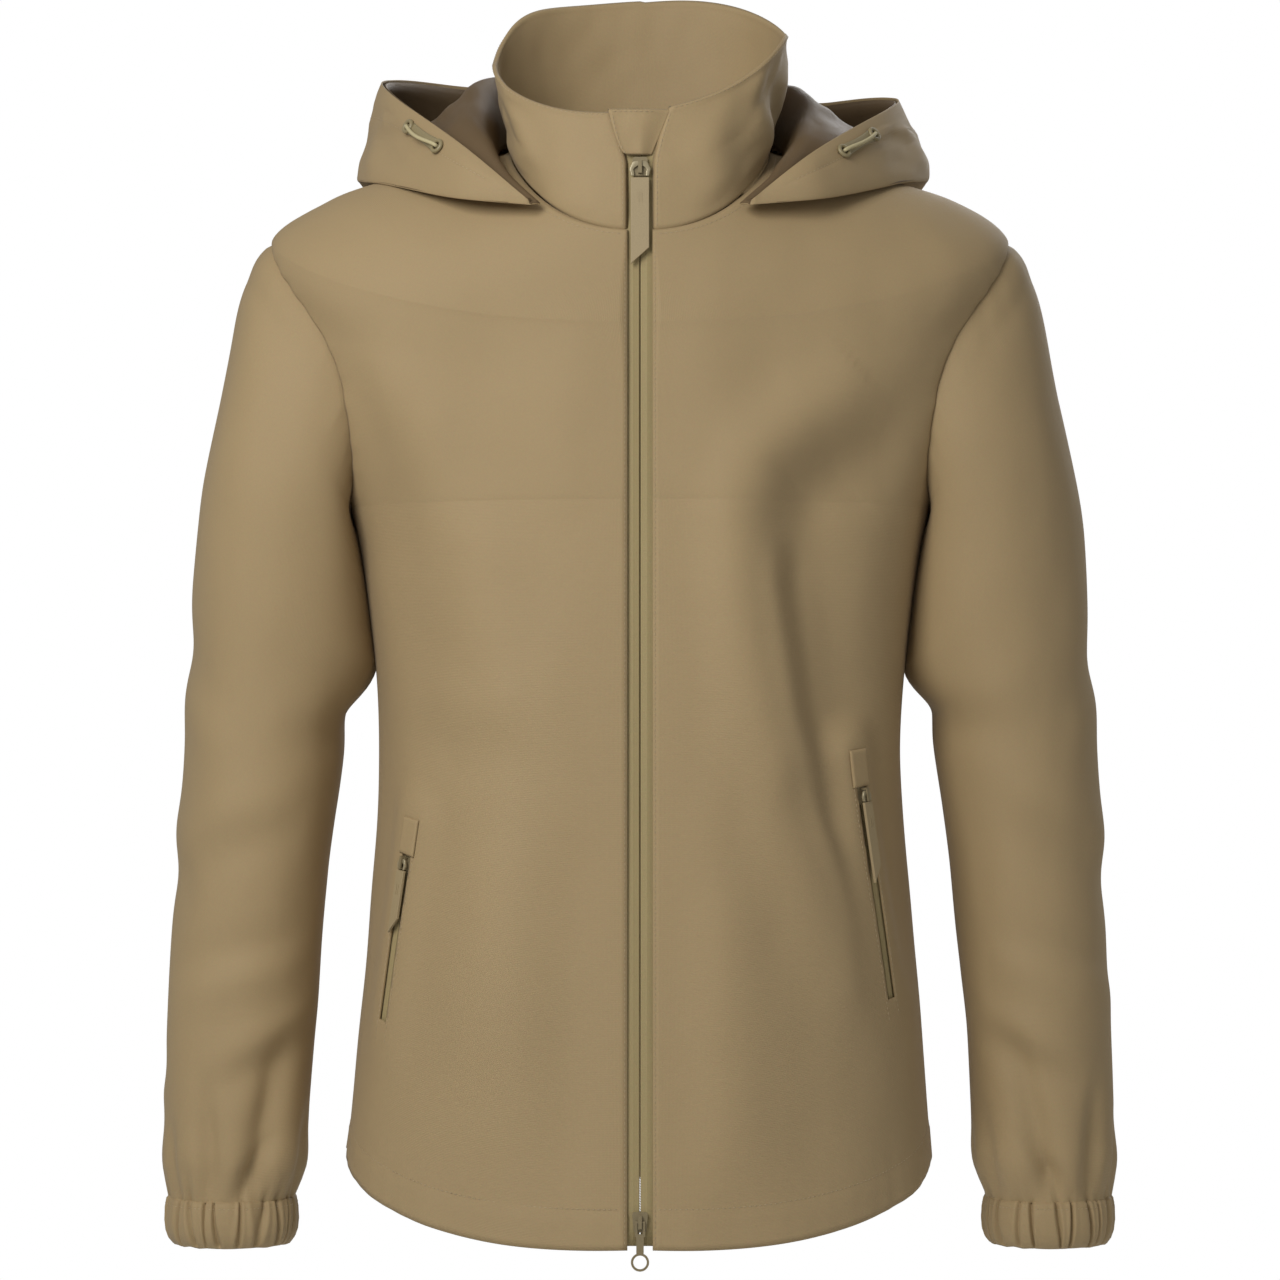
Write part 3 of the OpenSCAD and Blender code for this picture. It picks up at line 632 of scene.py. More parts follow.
for side, hand in ((-1, "right"), (1, "left")):
    sleeve = cloth_grid(f"{hand}_sleeve", 200, 112, sleeve_place(side), (0.36, 0.60))
    close_tube(sleeve)
    sleeve.data.materials.append(shell)
    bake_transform(sleeve)
    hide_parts(f"{hand}_sleeve_panel")
    cuff = cloth_grid(f"{hand}_cuff_band", 40, 460, cuff_place(side), (0.36, 0.07), thickness=0)
    close_tube(cuff)
    cuff.data.materials.append(shell)
    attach(cuff, f"{hand}_sleeve")
    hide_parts(f"{hand}_cuff", f"{hand}_cuff_elastic")

# ---- Collar ----
# A stand collar of two layers of the shell cloth, turned out and pressed at the top edge. It stands
# open round the neck, and its front corners part above the zip.
COLLAR = [
    (0.0, 80, 62, -18, NECK_FRONT, 4, 25),
    (0.5, 87, 69, -16, -12, 37, 67),
    (1.0, 91, 72, -14, 25, 67, 107),
]


COLLAR_H = 73
COLLAR_FOLDS = [
    # points of the fold, as turn against height in mm, then its width and height
    ([(62, 74), (54, 52), (70, 30), (82, 6)], 9, 3.4),
    ([(96, 70), (84, 44), (92, 12)], 9, -2.4),
    ([(40, 70), (34, 40), (44, 8)], 10, 2.2),
    ([(-66, 60), (-58, 30), (-76, 4)], 9, -2.0),
    ([(-100, 70), (-92, 34), (-100, 6)], 9, 2.0),
]


@functools.lru_cache(None)
def collar_station(v):
    return [spline(v, COLLAR, k) for k in range(1, 7)]


def collar_drape(turn, v, p):
    full = ease(v / 0.15) * ease((1 - v) / 0.12 + 0.2)
    lift = 1.6 * rough(p.x * 0.02, p.y * 0.02 + 4, p.z * 0.02)
    lift += 0.6 * rough(p.x * 0.06, p.y * 0.06, p.z * 0.05)
    for line, width, height in COLLAR_FOLDS:
        lift += fold(wrapped(turn), v * COLLAR_H, line, width, height)
    return lift * full - 0.6 * math.exp(-max(0, v) / 0.03)


def collar_place(a, b):
    # up the outside, over the top edge and down the inside
    inside = b > 0.5
    v = -0.03 + 1.025 * (2 * b if not inside else 2 - 2 * b)
    gap = GAP_HALF + 10 * max(0, (v - 0.55) / 0.45) ** 1.3
    start = turn_at(collar_station(v)[0], gap)
    turn = start + (360 - 2 * start) * a
    p = around(collar_station(v), turn)
    n = outward(collar_station, turn, v)
    # both layers meet in a rounded fold at the top edge, the front edges and down in the neck seam
    near = min(1, max(0, min((0.995 - v) / 0.02, (v + 0.03) / 0.02, a / 0.006, (1 - a) / 0.006)))
    half = 1.15 * math.sqrt(1 - (1 - near) ** 2)
    # the cloth stands up a little between the fold and the row of stitches
    swell = 0.45 * near * bell(min((1 - v) * COLLAR_H, a * 500, (1 - a) * 500) - 1.6, 1.2)
    # the wearer's left side of the neck stands a little higher than the right,
    # and the cloth behind the right side of the neck stands up again
    risen = 15 * math.sin(math.radians(turn)) + 22 * bell(wrapped(turn) + 125, 32)
    p.z += risen * max(0, v - 0.15) ** 1.5
    tuck = 1.5 * ease((0.012 - v) / 0.02)
    return p + n * (collar_drape(turn, v, p) - 1.15 - tuck + (-half - swell if inside else half + swell))


collar = cloth_grid("stand_collar", 88, 260, collar_place, (0.56, 0.16), thickness=0)
close_tube(collar, 0.00002)
collar.data.materials.append(shell)
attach(collar, "shell")
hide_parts("collar_shell", "collar_lining")

# ---- Chin guard ----
# A tab of two layers of shell cloth, turned out, over the top of the zip. It is sewn on behind the
# left edge of the collar, and its curved free edge lies over the right one.
GUARD_LOW, GUARD_HIGH = -3, 25


def guard_point(u, k, lift):
    """A point of the tab: u runs from the free edge to the sewn one, k from its lower end to its top."""
    z = GUARD_LOW + (GUARD_HIGH - GUARD_LOW) * k
    x = -(7.5 + 12 * math.sqrt(k)) * (1 - u) + (7 + 12 * k) * u
    rise = 1.8 - 3.6 * ease((u - 0.55) / 0.45) + 0.5 * rough(x * 0.09, 0, z * 0.07)
    return Vector((x, front_y(z) - rise - lift, z))


def guard_place(a, b):
    inside = b > 0.5
    k = 2 - 2 * b if inside else 2 * b
    near = min(1, k / 0.035, (1 - k) / 0.035, a / 0.03, (1 - a) / 0.03)
    half = 0.75 * math.sqrt(1 - (1 - near) ** 2)
    swell = 0.3 * near * bell(min(a, 1 - k) * 30 - 1.6, 1.2)
    return guard_point(a, k, -half - swell if inside else half + swell)


guard = cloth_grid("chin_guard_tab", 44, 44, guard_place, (0.035, 0.056), thickness=0)
close_tube(guard, 0.00002)
guard.data.materials.append(shell)
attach(guard, "shell")
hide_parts("chin_guard")

# ---- Facings and hanger loop ----
# Strips of the shell cloth sewn inside the front edges and the back of the neck, so that no raw
# edge shows, with a loop of woven tape caught in the neck seam to hang the jacket by.
FACING_DEPTH = 3.9


def front_facing_place(side):
    def place(a, b):
        v = 0.02 + 0.965 * b
        half = body_station(v)[0]
        start, end = turn_at(half, 9), turn_at(half, 42)
        return body_point(side * (start + (end - start) * (a if side > 0 else 1 - a)), v, FACING_DEPTH)
    return place


for side, hand in ((-1, "right"), (1, "left")):
    facing = cloth_grid(f"{hand}_front_facing_strip", 140, 12, front_facing_place(side), (0.033, 0.63))
    facing.data.materials.append(shell)
    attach(facing, "shell")
    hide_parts(f"{hand}_front_facing")
neck_facing = cloth_grid("back_neck_facing_strip", 24, 60,
                         lambda a, b: body_point(120 + 120 * a, 0.90 + 0.085 * b, FACING_DEPTH), (0.17, 0.08))
neck_facing.data.materials.append(shell)
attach(neck_facing, "shell")
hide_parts("back_neck_facing")


def loop_place(a, b):
    angle = math.radians(232 + 76 * a)
    sag = 1.6 * math.sin(math.pi * a) ** 2
    return Vector((38.6 * math.cos(angle), 81 + 38.6 * math.sin(angle), 14.2 + 5.6 * b - sag))


hanger = cloth_grid("hanger_tape_loop", 6, 48, loop_place, (0.058, 0.006), thickness=1.0, inwards=0)

# ---- Hood ----
# Three panels of the shell cloth, a centre strip between two sides, lined with satin and sewn into
# the neck seam. It lies folded down: it rises against the collar, falls into a pouch behind the
# neck and comes up again to the stitched edge of its opening, whose ends meet the neck in front.
RIM_BACK, POUCH = 62, 185
HOOD_SHARES = (0, 0.16, 0.34, 0.52, 0.62, 0.82, 1)
HOOD_LINES = [
    # neck seam, then ridge, inner wall, pouch inside, pouch outside, outer wall and opening edge
    [(0, 0, 71, 27), (0.3, 53, 56, 21), (0.55, 84, 16, 10), (0.75, 90, -32, -2), (0.9, 80, -68, -20),
     (1, 60, -91, -33)],
    [(0, 0, 88, 62), (0.3, 58, 74, 62), (0.55, 98, 28, 58), (0.75, 102, -26, 28), (0.9, 84, -70, -10),
     (1, 61, -92, -33)],
    [(0, 0, 106, 20), (0.3, 70, 98, 26), (0.55, 118, 44, 28), (0.75, 120, -22, 14), (0.9, 92, -71, -18),
     (1, 62, -93, -33)],
    [(0, 0, 130, 24 - POUCH), (0.3, 80, 132, -112), (0.55, 142, 64, -4), (0.75, 144, -8, 2), (0.9, 104, -74, -24),
     (1, 63, -94, -33)],
    [(0, 0, 146, 12 - POUCH), (0.3, 90, 148, -122), (0.55, 173, 84, -18), (0.75, 172, 0, -12), (0.9, 114, -77, -27),
     (1, 64, -95, -33)],
    [(0, 0, 180, -66), (0.3, 100, 172, -44), (0.55, 171, 90, 20), (0.75, 163, 8, 22), (0.9, 112, -75, -10),
     (1, 65, -95.5, -32)],
    [(0, 0, 172, RIM_BACK), (0.3, 96, 158, RIM_BACK + 4), (0.55, 156, 84, RIM_BACK + 2),
     (0.75, 156, 14, RIM_BACK - 14), (0.9, 107, -68, 6), (1, 66, -96, -31)],
]


@functools.lru_cache(None)
def hood_stations(w):
    return [(share, *[spline(w, line, k) for k in (1, 2, 3)]) for share, line in zip(HOOD_SHARES, HOOD_LINES)]


@functools.lru_cache(None)
def hood_skin(w, v):
    """The hood before it is draped: w runs from its right end to its left one, v from the neck to the edge."""
    stations = hood_stations(round(abs(w), 5))
    # the hood lies a little lower on the wearer's left side
    side = ease((abs(w) - 0.1) / 0.3) * ease((1 - abs(w)) / 0.35)
    rim, ridge = (15, 12) if w > 0 else (4, 8)
    sag = side * (rim * ease((v - 0.70) / 0.25) + ridge * bell(v - 0.17, 0.12))
    pulled_in = side * (7 if w < 0 else 2) * bell(v - 0.74, 0.16)
    return Vector((math.copysign(spline(v, stations, 1) - pulled_in, w), spline(v, stations, 2),
                   spline(v, stations, 3) - sag))


def hood_out(w, v):
    up = hood_skin(w, v + 0.01) - hood_skin(w, v - 0.01)
    along = hood_skin(w + 0.01, v) - hood_skin(w - 0.01, v)
    return up.cross(along).normalized()


HOOD_FOLDS = [
    # folds on the opened-out hood: across w in hundredths of its half width against v in hundredths
    ([(30, 98), (38, 84), (34, 66), (22, 54)], 5, 3.0, True),
    ([(62, 92), (56, 78), (60, 64)], 4, -2.2, True),
    ([(78, 90), (72, 78), (76, 66)], 3.5, 1.6, True),
    ([(4, 96), (10, 82), (2, 66)], 5, 2.4, True),
    ([(12, 50), (20, 38), (14, 26)], 4, 3.5, True),
    ([(46, 50), (40, 36), (46, 22)], 4, -3.5, True),
    ([(64, 48), (58, 34), (62, 20)], 3.5, 3.0, True),
]


def hood_drape(w, v, p):
    calm = ease((1 - abs(w)) / 0.2) * (1 - 0.7 * ease((abs(w) - 0.6) / 0.15) * bell(v - 0.58, 0.1))
    lift = sum(fold(100 * abs(w + (0.02 if w < 0 else 0)), 100 * v, *f) for f in HOOD_FOLDS)
    lift += 3.0 * rough(p.x * 0.016, p.y * 0.016, p.z * 0.016 + 8)
    lift += 1.0 * rough(p.x * 0.045, p.y * 0.045 + 5, p.z * 0.045)
    seam = -1.1 * bell(abs(w) - 0.24, 0.005)
    rim = ease((v - 0.91) / 0.03)
    calm *= 1 - 0.6 * rim
    tunnel = 0.9 * math.sin(math.pi * min(1, max(0, (v - 0.86) / 0.14)))
    pucker = 0.8 * bell(v - 0.86, 0.035) * rough(w * 42, 2, 0)
    return lift * calm + seam + (tunnel + pucker) * ease((1 - abs(w)) / 0.08)


def hood_thin(w):
    """The layers lie closer together towards the hood's two ends."""
    return min(1, 0.3 + (1 - abs(w)) * 6)


def hood_layer_place(w0, w1, v0, v1, depth):
    def place(a, b):
        w, v = w0 + (w1 - w0) * a, v0 + (v1 - v0) * b
        p, n = hood_skin(w, v), hood_out(w, v)
        thin = hood_thin(w)
        lift = hood_drape(w, v, p)
        deep = 0
        if depth > 0:
            # the lining passes under the tunnel at the edge and is crumpled in the pouch
            tunnel = 2.8 * min(1, max(0, (v - 0.80) / 0.08)) * (1 - ease((v - 0.975) / 0.02))
            deep = (depth + tunnel) * thin
            crumple = 2.4 * abs(rough(w * 7, v * 6, 1)) + 0.5 * rough(w * 16, v * 13, 4)
            bend = bell(v - 0.6, 0.06)
            lift -= crumple * ease((0.86 - v) / 0.1) * thin * 0.8 * (1 - bend)
            deep *= 1 - 0.62 * bend
        return p + n * (lift * thin - deep)
    return place


def hood_point(w, v, lift):
    """A point of the draped hood's outside, lifted off it along its outward direction."""
    p = hood_skin(w, v)
    return p + hood_out(w, v) * (hood_drape(w, v, p) * hood_thin(w) + lift)


satin = shell_cloth("satin_lining_cloth", (0.160, 0.108, 0.058), weave=1.5)
for key, value in (("Roughness", 0.46), ("Sheen Weight", 0), ("Specular IOR Level", 0.2),
                   ("Specular Tint", (0.95, 0.72, 0.48, 1))):
    satin.node_tree.nodes["Principled BSDF"].inputs[key].default_value = value

# Across the hood: its two long seams and its ends.
PANEL_W, TIP_W = 0.24, 0.996
hood_shells = {}
for name, span, columns, width, node_names in (
        ("right", (-TIP_W, -PANEL_W), 112, 0.42, ("hood_right_panel", "hood_right_wing")),
        ("left", (PANEL_W, TIP_W), 112, 0.42, ("hood_left_panel", "hood_left_wing")),
        ("centre", (-PANEL_W, PANEL_W), 60, 0.15, ("hood_centre_panel", "hood_ridge"))):
    outside = cloth_grid(f"hood_{name}_shell", 150, columns, hood_layer_place(*span, 0.004, 0.996, 0), (width, 0.52))
    inside = cloth_grid(f"hood_{name}_satin", 120, columns, hood_layer_place(*span, 0.006, 0.992, 2.4), (width, 0.51),
                        thickness=0.6)
    outside.data.materials.append(shell)
    inside.data.materials.append(satin)
    for piece, finish in ((outside, "shell_fabric"), (inside, "lining_fabric")):
        # turned so that the outside of the cloth faces out
        bm = bmesh.new()
        bm.from_mesh(piece.data)
        bmesh.ops.reverse_faces(bm, faces=bm.faces)
        bm.to_mesh(piece.data)
        bm.free()
        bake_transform(piece)
    hood_shells[name] = outside
    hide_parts(*node_names)
    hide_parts(*[n.replace("_panel", "_lining") if n.endswith("_panel") else n + "_lining"
                          for n in node_names])

# ---- Front zip ----
# A two-way reverse-coil zip: woven tapes fold inwards so that only their smooth faces show, with
# the coils behind. The tapes are sewn behind the two front edges and end in metal stops and pins.
LEAN = math.atan(FRONT_SLOPE)
on_front = Matrix.Translation((0, FRONT_Y * 0.001, NECK_FRONT * 0.001)) @ Matrix.Rotation(-LEAN, 4, "X")
CHAIN_LOW, CHAIN_HIGH = -600, 60
TAPE_W, TAPE_Y, COIL_STEP = 16, 2.0, 1.5


def plain_finish(name, tone, roughness, metal=0.0, grain=0.0004, speck=900):
    """Nylon, resin, thread or paint: an almost even tone with a fine grain."""
    finish = bpy.data.materials.new(name)
    finish.use_nodes = True
    tree = finish.node_tree
    shader = tree.nodes["Principled BSDF"]
    shader.inputs["Roughness"].default_value = roughness
    shader.inputs["Metallic"].default_value = metal
    place = tree.nodes.new("ShaderNodeTexCoord")
    wear = texture(tree, "ShaderNodeTexNoise", place.outputs["Object"], Scale=speck, Detail=4)
    tree.links.new(two_tones(tree, tone, 0.82, 1.15, wear.outputs["Fac"]), shader.inputs["Base Color"])
    tree.links.new(relief(tree, wear.outputs["Fac"], 0.3, grain).outputs["Normal"], shader.inputs["Normal"])
    return finish


tape_cloth = shell_cloth("woven_tape", (0.375, 0.292, 0.138), weave=0.8)
coil_nylon = plain_finish("coil_nylon", (0.27, 0.215, 0.115), 0.42)
painted_metal = plain_finish("tan_painted_metal", (0.27, 0.215, 0.12), 0.34, metal=0.25, grain=0.0001)


def to_frame(bm, matrix):
    """Takes a mesh made in mm to its place in the frame."""
    bmesh.ops.scale(bm, verts=bm.verts, vec=(0.001, 0.001, 0.001))
    bmesh.ops.transform(bm, matrix=matrix, verts=bm.verts)


def tape_strip(name, side):
    """Half of the front zip's tape: flat, with a rounded fold at the middle and a raised rib beside it."""
    profile = [(0.35, 1.5), (0.32, 0.5), (0.6, 0.08), (1.3, 0), (3.4, 0.02), (3.9, -0.14), (4.5, -0.14), (5.0, 0.02),
               (TAPE_W * 0.6, 0), (TAPE_W * 0.8, 0.05), (TAPE_W, 0)]
    low = CHAIN_LOW - 7
    bm = bmesh.new()
    points = [bm.verts.new((side * x, TAPE_Y + d, low)) for x, d in profile]
    edges = [bm.edges.new(pair) for pair in zip(points, points[1:])]
    lengths = int((CHAIN_HIGH - low) / 12)
    for _ in range(lengths):
        grown = bmesh.ops.extrude_edge_only(bm, edges=edges)["geom"]
        moved = [g for g in grown if isinstance(g, bmesh.types.BMVert)]
        bmesh.ops.translate(bm, verts=moved, vec=(0, 0, (CHAIN_HIGH - low) / lengths))
        edges = [g for g in grown if isinstance(g, bmesh.types.BMEdge) and all(v in moved for v in g.verts)]
    cloth_map = bm.loops.layers.uv.new("cloth")
    for face in bm.faces:
        for loop in face.loops:
            loop[cloth_map].uv = (loop.vert.co.x * 0.001, loop.vert.co.z * 0.001)
    bmesh.ops.recalc_face_normals(bm, faces=bm.faces)
    if sum(f.normal.y for f in bm.faces) > 0:
        bmesh.ops.reverse_faces(bm, faces=bm.faces)
    to_frame(bm, on_front)
    return finish_cloth(name, bm, 0.5)


def coil_strip(name, low, high, y, frame_matrix, node_names):
    """The coils of a zip: a loop of nylon for each tooth, each side half a step from the other."""
    bm = bmesh.new()
    thread = []
    for k in range(9):
        angle = 2 * math.pi * k / 8
        thread.append(Vector((1.55 * math.cos(angle), 0.85 * math.sin(angle), 0.35 * math.sin(angle / 2))))
    for side in (-1, 1):
        z = low + (0.5 * COIL_STEP if side > 0 else 0)
        while z < high:
            rings = []
            for k, c in enumerate(thread):
                ahead = thread[min(k + 1, len(thread) - 1)] - thread[max(k - 1, 0)]
                across = ahead.cross(Vector((0, 0, 1))).normalized()
                over = ahead.cross(across).normalized()
                rings.append([bm.verts.new(Vector((side * 1.75, y + 0.85, z)) + c + 0.36 * (across * u + over * w))
                              for u, w in ((1, 0), (0, 1), (-1, 0), (0, -1))])
            for one, two in zip(rings, rings[1:]):
                for k in range(4):
                    bm.faces.new((one[k], one[(k + 1) % 4], two[(k + 1) % 4], two[k]))
            z += COIL_STEP
    bmesh.ops.recalc_face_normals(bm, faces=bm.faces)
    to_frame(bm, frame_matrix)
    coil = finish_cloth(name, bm, 0)
    coil.data.materials.append(coil_nylon)
    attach(coil, "shell")
    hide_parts(*node_names)


for side, hand in ((-1, "right"), (1, "left")):
    strip = tape_strip(f"front_zip_{hand}_tape", side)
    strip.data.materials.append(tape_cloth)
    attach(strip, "shell")
    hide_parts(f"zip_{hand}_tape")
coil_strip("front_zip_coils", CHAIN_LOW + 12, CHAIN_HIGH - 6, 2.9, on_front, ("zip_right_coil", "zip_left_coil"))
for name in ("zip_top_stops", "zip_bottom_pins", "top_slider", "bottom_slider", "bottom_pull",
             "right_pocket_slider", "left_pocket_slider"):
    nodes[name].data.materials.clear()
    nodes[name].data.materials.append(painted_metal)

# the hanger loop behind the neck is of the same tape
hanger.data.materials.append(tape_cloth)
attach(hanger, "shell")
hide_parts("hanger_loop")

# ---- Hood eyelets and drawcord ----
# In each end of the hood's tunnel two moulded eyelets share one plate with a waist. A round braided
# cord, sewn down further along the tunnel, comes out of one and goes back in at the other.
EYELET_W, EYELET_V = (0.815, 0.865), (0.905, 0.895)
CORD_R = 1.2


def between(ends, share):
    return ends[0] + (ends[1] - ends[0]) * share


def cut_through(panel, cutter_mesh):
    """Cuts a closed shape out of a panel and its thickness."""
    cutter_data = bpy.data.meshes.new("cutter")
    cutter_mesh.to_mesh(cutter_data)
    cutter_mesh.free()
    cutter = bpy.data.objects.new("cutter", cutter_data)
    bpy.context.scene.collection.objects.link(cutter)
    cut = panel.modifiers.new("cut", "BOOLEAN")
    cut.operation, cut.object, cut.solver = "DIFFERENCE", cutter, "EXACT"
    bpy.context.view_layer.update()
    worked = bpy.data.meshes.new_from_object(panel.evaluated_get(bpy.context.evaluated_depsgraph_get()))
    panel.modifiers.clear()
    panel.data = worked
    bpy.data.objects.remove(cutter)


def set_on(point, normal, along):
    """The matrix that stands a shape made flat at the origin on a surface, in metres."""
    across = normal.cross(along).normalized()
    return Matrix.Translation(point * 0.001) @ Matrix((across.cross(normal), across, normal)).transposed().to_4x4()


braid = plain_finish("braided_cord", (0.50, 0.43, 0.24), 0.6, grain=0.0004, speck=1500)
eyelet_resin = plain_finish("eyelet_resin", (0.27, 0.22, 0.115), 0.38, grain=0.0001)
for side, hand in ((-1, "right"), (1, "left")):
    ends = [hood_point(side * w, v, 0) for w, v in zip(EYELET_W, EYELET_V)]
    along = (ends[1] - ends[0]).normalized()
    apart = (ends[1] - ends[0]).length
    facing = sum((hood_out(side * w, v) for w, v in zip(EYELET_W, EYELET_V)), Vector()).normalized()

    def bridge_place(a, b):
        s = 3.4 + (apart - 6.8) * a
        share = s / apart
        half = 4.3 - 1.0 * math.sin(math.pi * share)
        middle = hood_point(side * between(EYELET_W, share), between(EYELET_V, share), 1.7)
        return middle + facing.cross(along) * half * (2 * b - 1) - facing * 0.5 * (2 * b - 1) ** 4

    plate = cloth_grid(f"{hand}_hood_eyelet_plate", 10, 14, bridge_place, (0.01, 0.01), thickness=1.1)
    rings = bmesh.new()
    holes = bmesh.new()
    for end, w, v in zip(ends, EYELET_W, EYELET_V):
        normal = hood_out(side * w, v)
        stand = set_on(end, normal, along)
        upright = Matrix.Translation((0.0036, 0, 0.0014)) @ Matrix.Rotation(math.pi / 2, 4, "X")
        rim = bmesh.ops.create_circle(rings, segments=12, radius=0.0013, matrix=upright)
        edges = list({e for vert in rim["verts"] for e in vert.link_edges})
        bmesh.ops.spin(rings, geom=rim["verts"] + edges, cent=(0, 0, 0), axis=(0, 0, 1), angle=2 * math.pi,
                       steps=36, use_merge=True)
        bmesh.ops.transform(rings, matrix=stand, verts=[vert for vert in rings.verts if not vert.tag])
        for vert in rings.verts:
            vert.tag = True
        bmesh.ops.create_cone(holes, cap_ends=True, segments=28, radius1=0.0022, radius2=0.0022, depth=0.008,
                              matrix=stand)
    bmesh.ops.remove_doubles(rings, verts=rings.verts, dist=0.00001)
    bmesh.ops.recalc_face_normals(rings, faces=rings.faces)
    ring_piece = finish_cloth(f"{hand}_hood_eyelet_rings", rings, 0)
    cut_through(hood_shells[hand], holes)
    for piece in (plate, ring_piece):
        piece.data.materials.append(eyelet_resin)
        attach(piece, "shell")
    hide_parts(f"{hand}_hood_eyelets")

    route = [hood_point(side * (0.47 + 0.04 * k), 0.93, -3.1) for k in range(9)]
    route += [hood_point(side * EYELET_W[0], EYELET_V[0], lift) for lift in (-2.8, -1.0, 1.0, 3.0)]
    for k in range(1, 6):
        share = k / 6
        arch = math.sin(math.pi * share)
        route.append(hood_point(side * between(EYELET_W, share), 0.90 - 0.02 * arch, 3.2 + 2.0 * arch))
    route += [hood_point(side * EYELET_W[1], EYELET_V[1], lift) for lift in (3.0, 1.0, -1.0, -2.8)]
    route += [hood_point(side * 0.885, 0.92, -3.1), hood_point(side * 0.905, 0.93, -3.1)]
    line = bpy.data.curves.new(f"{hand}_hood_drawcord", "CURVE")
    line.dimensions = "3D"
    line.bevel_depth = CORD_R * 0.001
    line.bevel_resolution = 3
    spline_line = line.splines.new("NURBS")
    spline_line.points.add(len(route) - 1)
    for point, place in zip(spline_line.points, route):
        point.co = (*(place * 0.001), 1)
    spline_line.order_u = 3
    spline_line.use_endpoint_u = True
    spline_line.resolution_u = 5
    cord = bpy.data.objects.new(f"{hand}_hood_drawcord", line)
    bpy.context.scene.collection.objects.link(cord)
    cord.data.materials.append(braid)
    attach(cord, "shell")
    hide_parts(f"{hand}_hood_cord")

# ---- Pull tabs ----
# Soft moulded tabs hooked on the sliders' links: flat straps with rounded edges, a shallow border
# line, a short raised bar near the top and an end cut on a slant.
tab_rubber = plain_finish("moulded_tab", (0.355, 0.272, 0.148), 0.5, grain=0.00025, speck=1600)


def thicken(bm, depth):
    """Gives a flat outline its thickness, towards the front."""
    grown = bmesh.ops.extrude_face_region(bm, geom=bm.faces[:])
    moved = [g for g in grown["geom"] if isinstance(g, bmesh.types.BMVert)]
    bmesh.ops.translate(bm, verts=moved, vec=(0, -depth, 0))
    bmesh.ops.recalc_face_normals(bm, faces=bm.faces)


def pull_tab(name, width, length, link_end, pin_y, place, body, node):
    """A tab that hangs from its link's end, behind the pin it turns on."""
    top, low = 1.4 - link_end, -length
    outline = [(-width / 2, top), (width / 2, top), (width / 2, low + 10), (-width / 2, low)]
    bm = bmesh.new()
    face = bm.faces.new([bm.verts.new((x, pin_y + 0.95, z)) for x, z in outline])
    bmesh.ops.inset_region(bm, faces=[face], thickness=1.2, use_even_offset=True)
    thicken(bm, 1.9)
    inner = [f for f in bm.faces if abs(f.normal.y) > 0.9 and f.calc_center_median().y < pin_y
             and all(abs(v.co.x) < width / 2 - 0.6 for v in f.verts)]
    bmesh.ops.inset_region(bm, faces=inner, thickness=0.35, depth=-0.3, use_even_offset=True)
    bmesh.ops.bevel(bm, geom=[e for e in bm.edges if e.calc_face_angle(0) > 1.0 and e.calc_length() > 1],
                    offset=0.35, offset_type="OFFSET", segments=3, profile=0.5, affect="EDGES", material=-1)
    for x in (-0.9, 0.9):
        bar = bmesh.ops.create_cube(bm, size=1.0)["verts"]
        bmesh.ops.scale(bm, verts=bar, vec=(0.6, 0.7, 6.0))
        bmesh.ops.translate(bm, verts=bar, vec=(x, pin_y - 0.85, top - 12))
    to_frame(bm, place)
    tab = finish_cloth(name, bm, 0)
    for polygon in tab.data.polygons:
        polygon.use_smooth = False
    tab.data.materials.append(tab_rubber)
    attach(tab, body)
    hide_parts(node)


def pull_arch(name, width, place, pin_y, body, node):
    """The arched wire frame that joins a slider to its tab: a flat bar bent over the crown, its legs spread."""
    half = width / 2
    outer = [(0.84, -5.6), (0.90, -3.2), (1.0, -1.6), (0.84, 0.6), (0.70, 2.6), (0.52, 3.4)]
    inner = [(0.52, -5.6), (0.56, -3.2), (0.62, -1.8), (0.46, -0.6), (0.30, 0.1), (0.16, 0.4)]
    bm = bmesh.new()
    loops = []
    for outline in (outer, inner):
        points = [(x * half, z) for x, z in outline] + [(-x * half, z) for x, z in reversed(outline)]
        ring = [bm.verts.new((x, pin_y + 0.7, z * width / 13)) for x, z in points]
        loops += [bm.edges.new((ring[k - 1], ring[k])) for k in range(len(ring))]
    bmesh.ops.bridge_loops(bm, edges=loops)
    thicken(bm, 1.5)
    bmesh.ops.bevel(bm, geom=[e for e in bm.edges if e.calc_face_angle(0) > 1.0], offset=0.4, offset_type="OFFSET",
                    segments=3, profile=0.5, affect="EDGES", material=-1)
    to_frame(bm, place)
    arch = finish_cloth(name, bm, 0)
    arch.data.materials.append(bright_paint)
    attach(arch, body)
    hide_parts(node)


bright_paint = plain_finish("light_tan_paint", (0.37, 0.31, 0.19), 0.3, metal=0.3, grain=0.0001)
SLIDER_Z = 38
at_slider = on_front @ Matrix.Translation((0, 0, SLIDER_Z * 0.001))
pull_arch("front_pull_arch", 13, at_slider, -1.5, "main_pull", "top_pull_link")
pull_tab("front_pull_tab", 11, 59, 8, -1.5, at_slider, "main_pull", "top_pull_tab")

# ---- Pockets ----
# Each front has a slit pocket closed by a zip like the front one. The slit is cut through the cloth, a
# small folded patch covers the zip's top end, and a bag of lining hangs loose behind.
GARAGE, TAPE_TURN = 18, 4.2


def slit_turn(side, s):
    start, _, length = POCKETS[side]
    return side * (start + SLIT_LEAN * length * s)


def slit_v(side, s):
    _, top, length = POCKETS[side]
    return top - SLIT_FALL * length * s


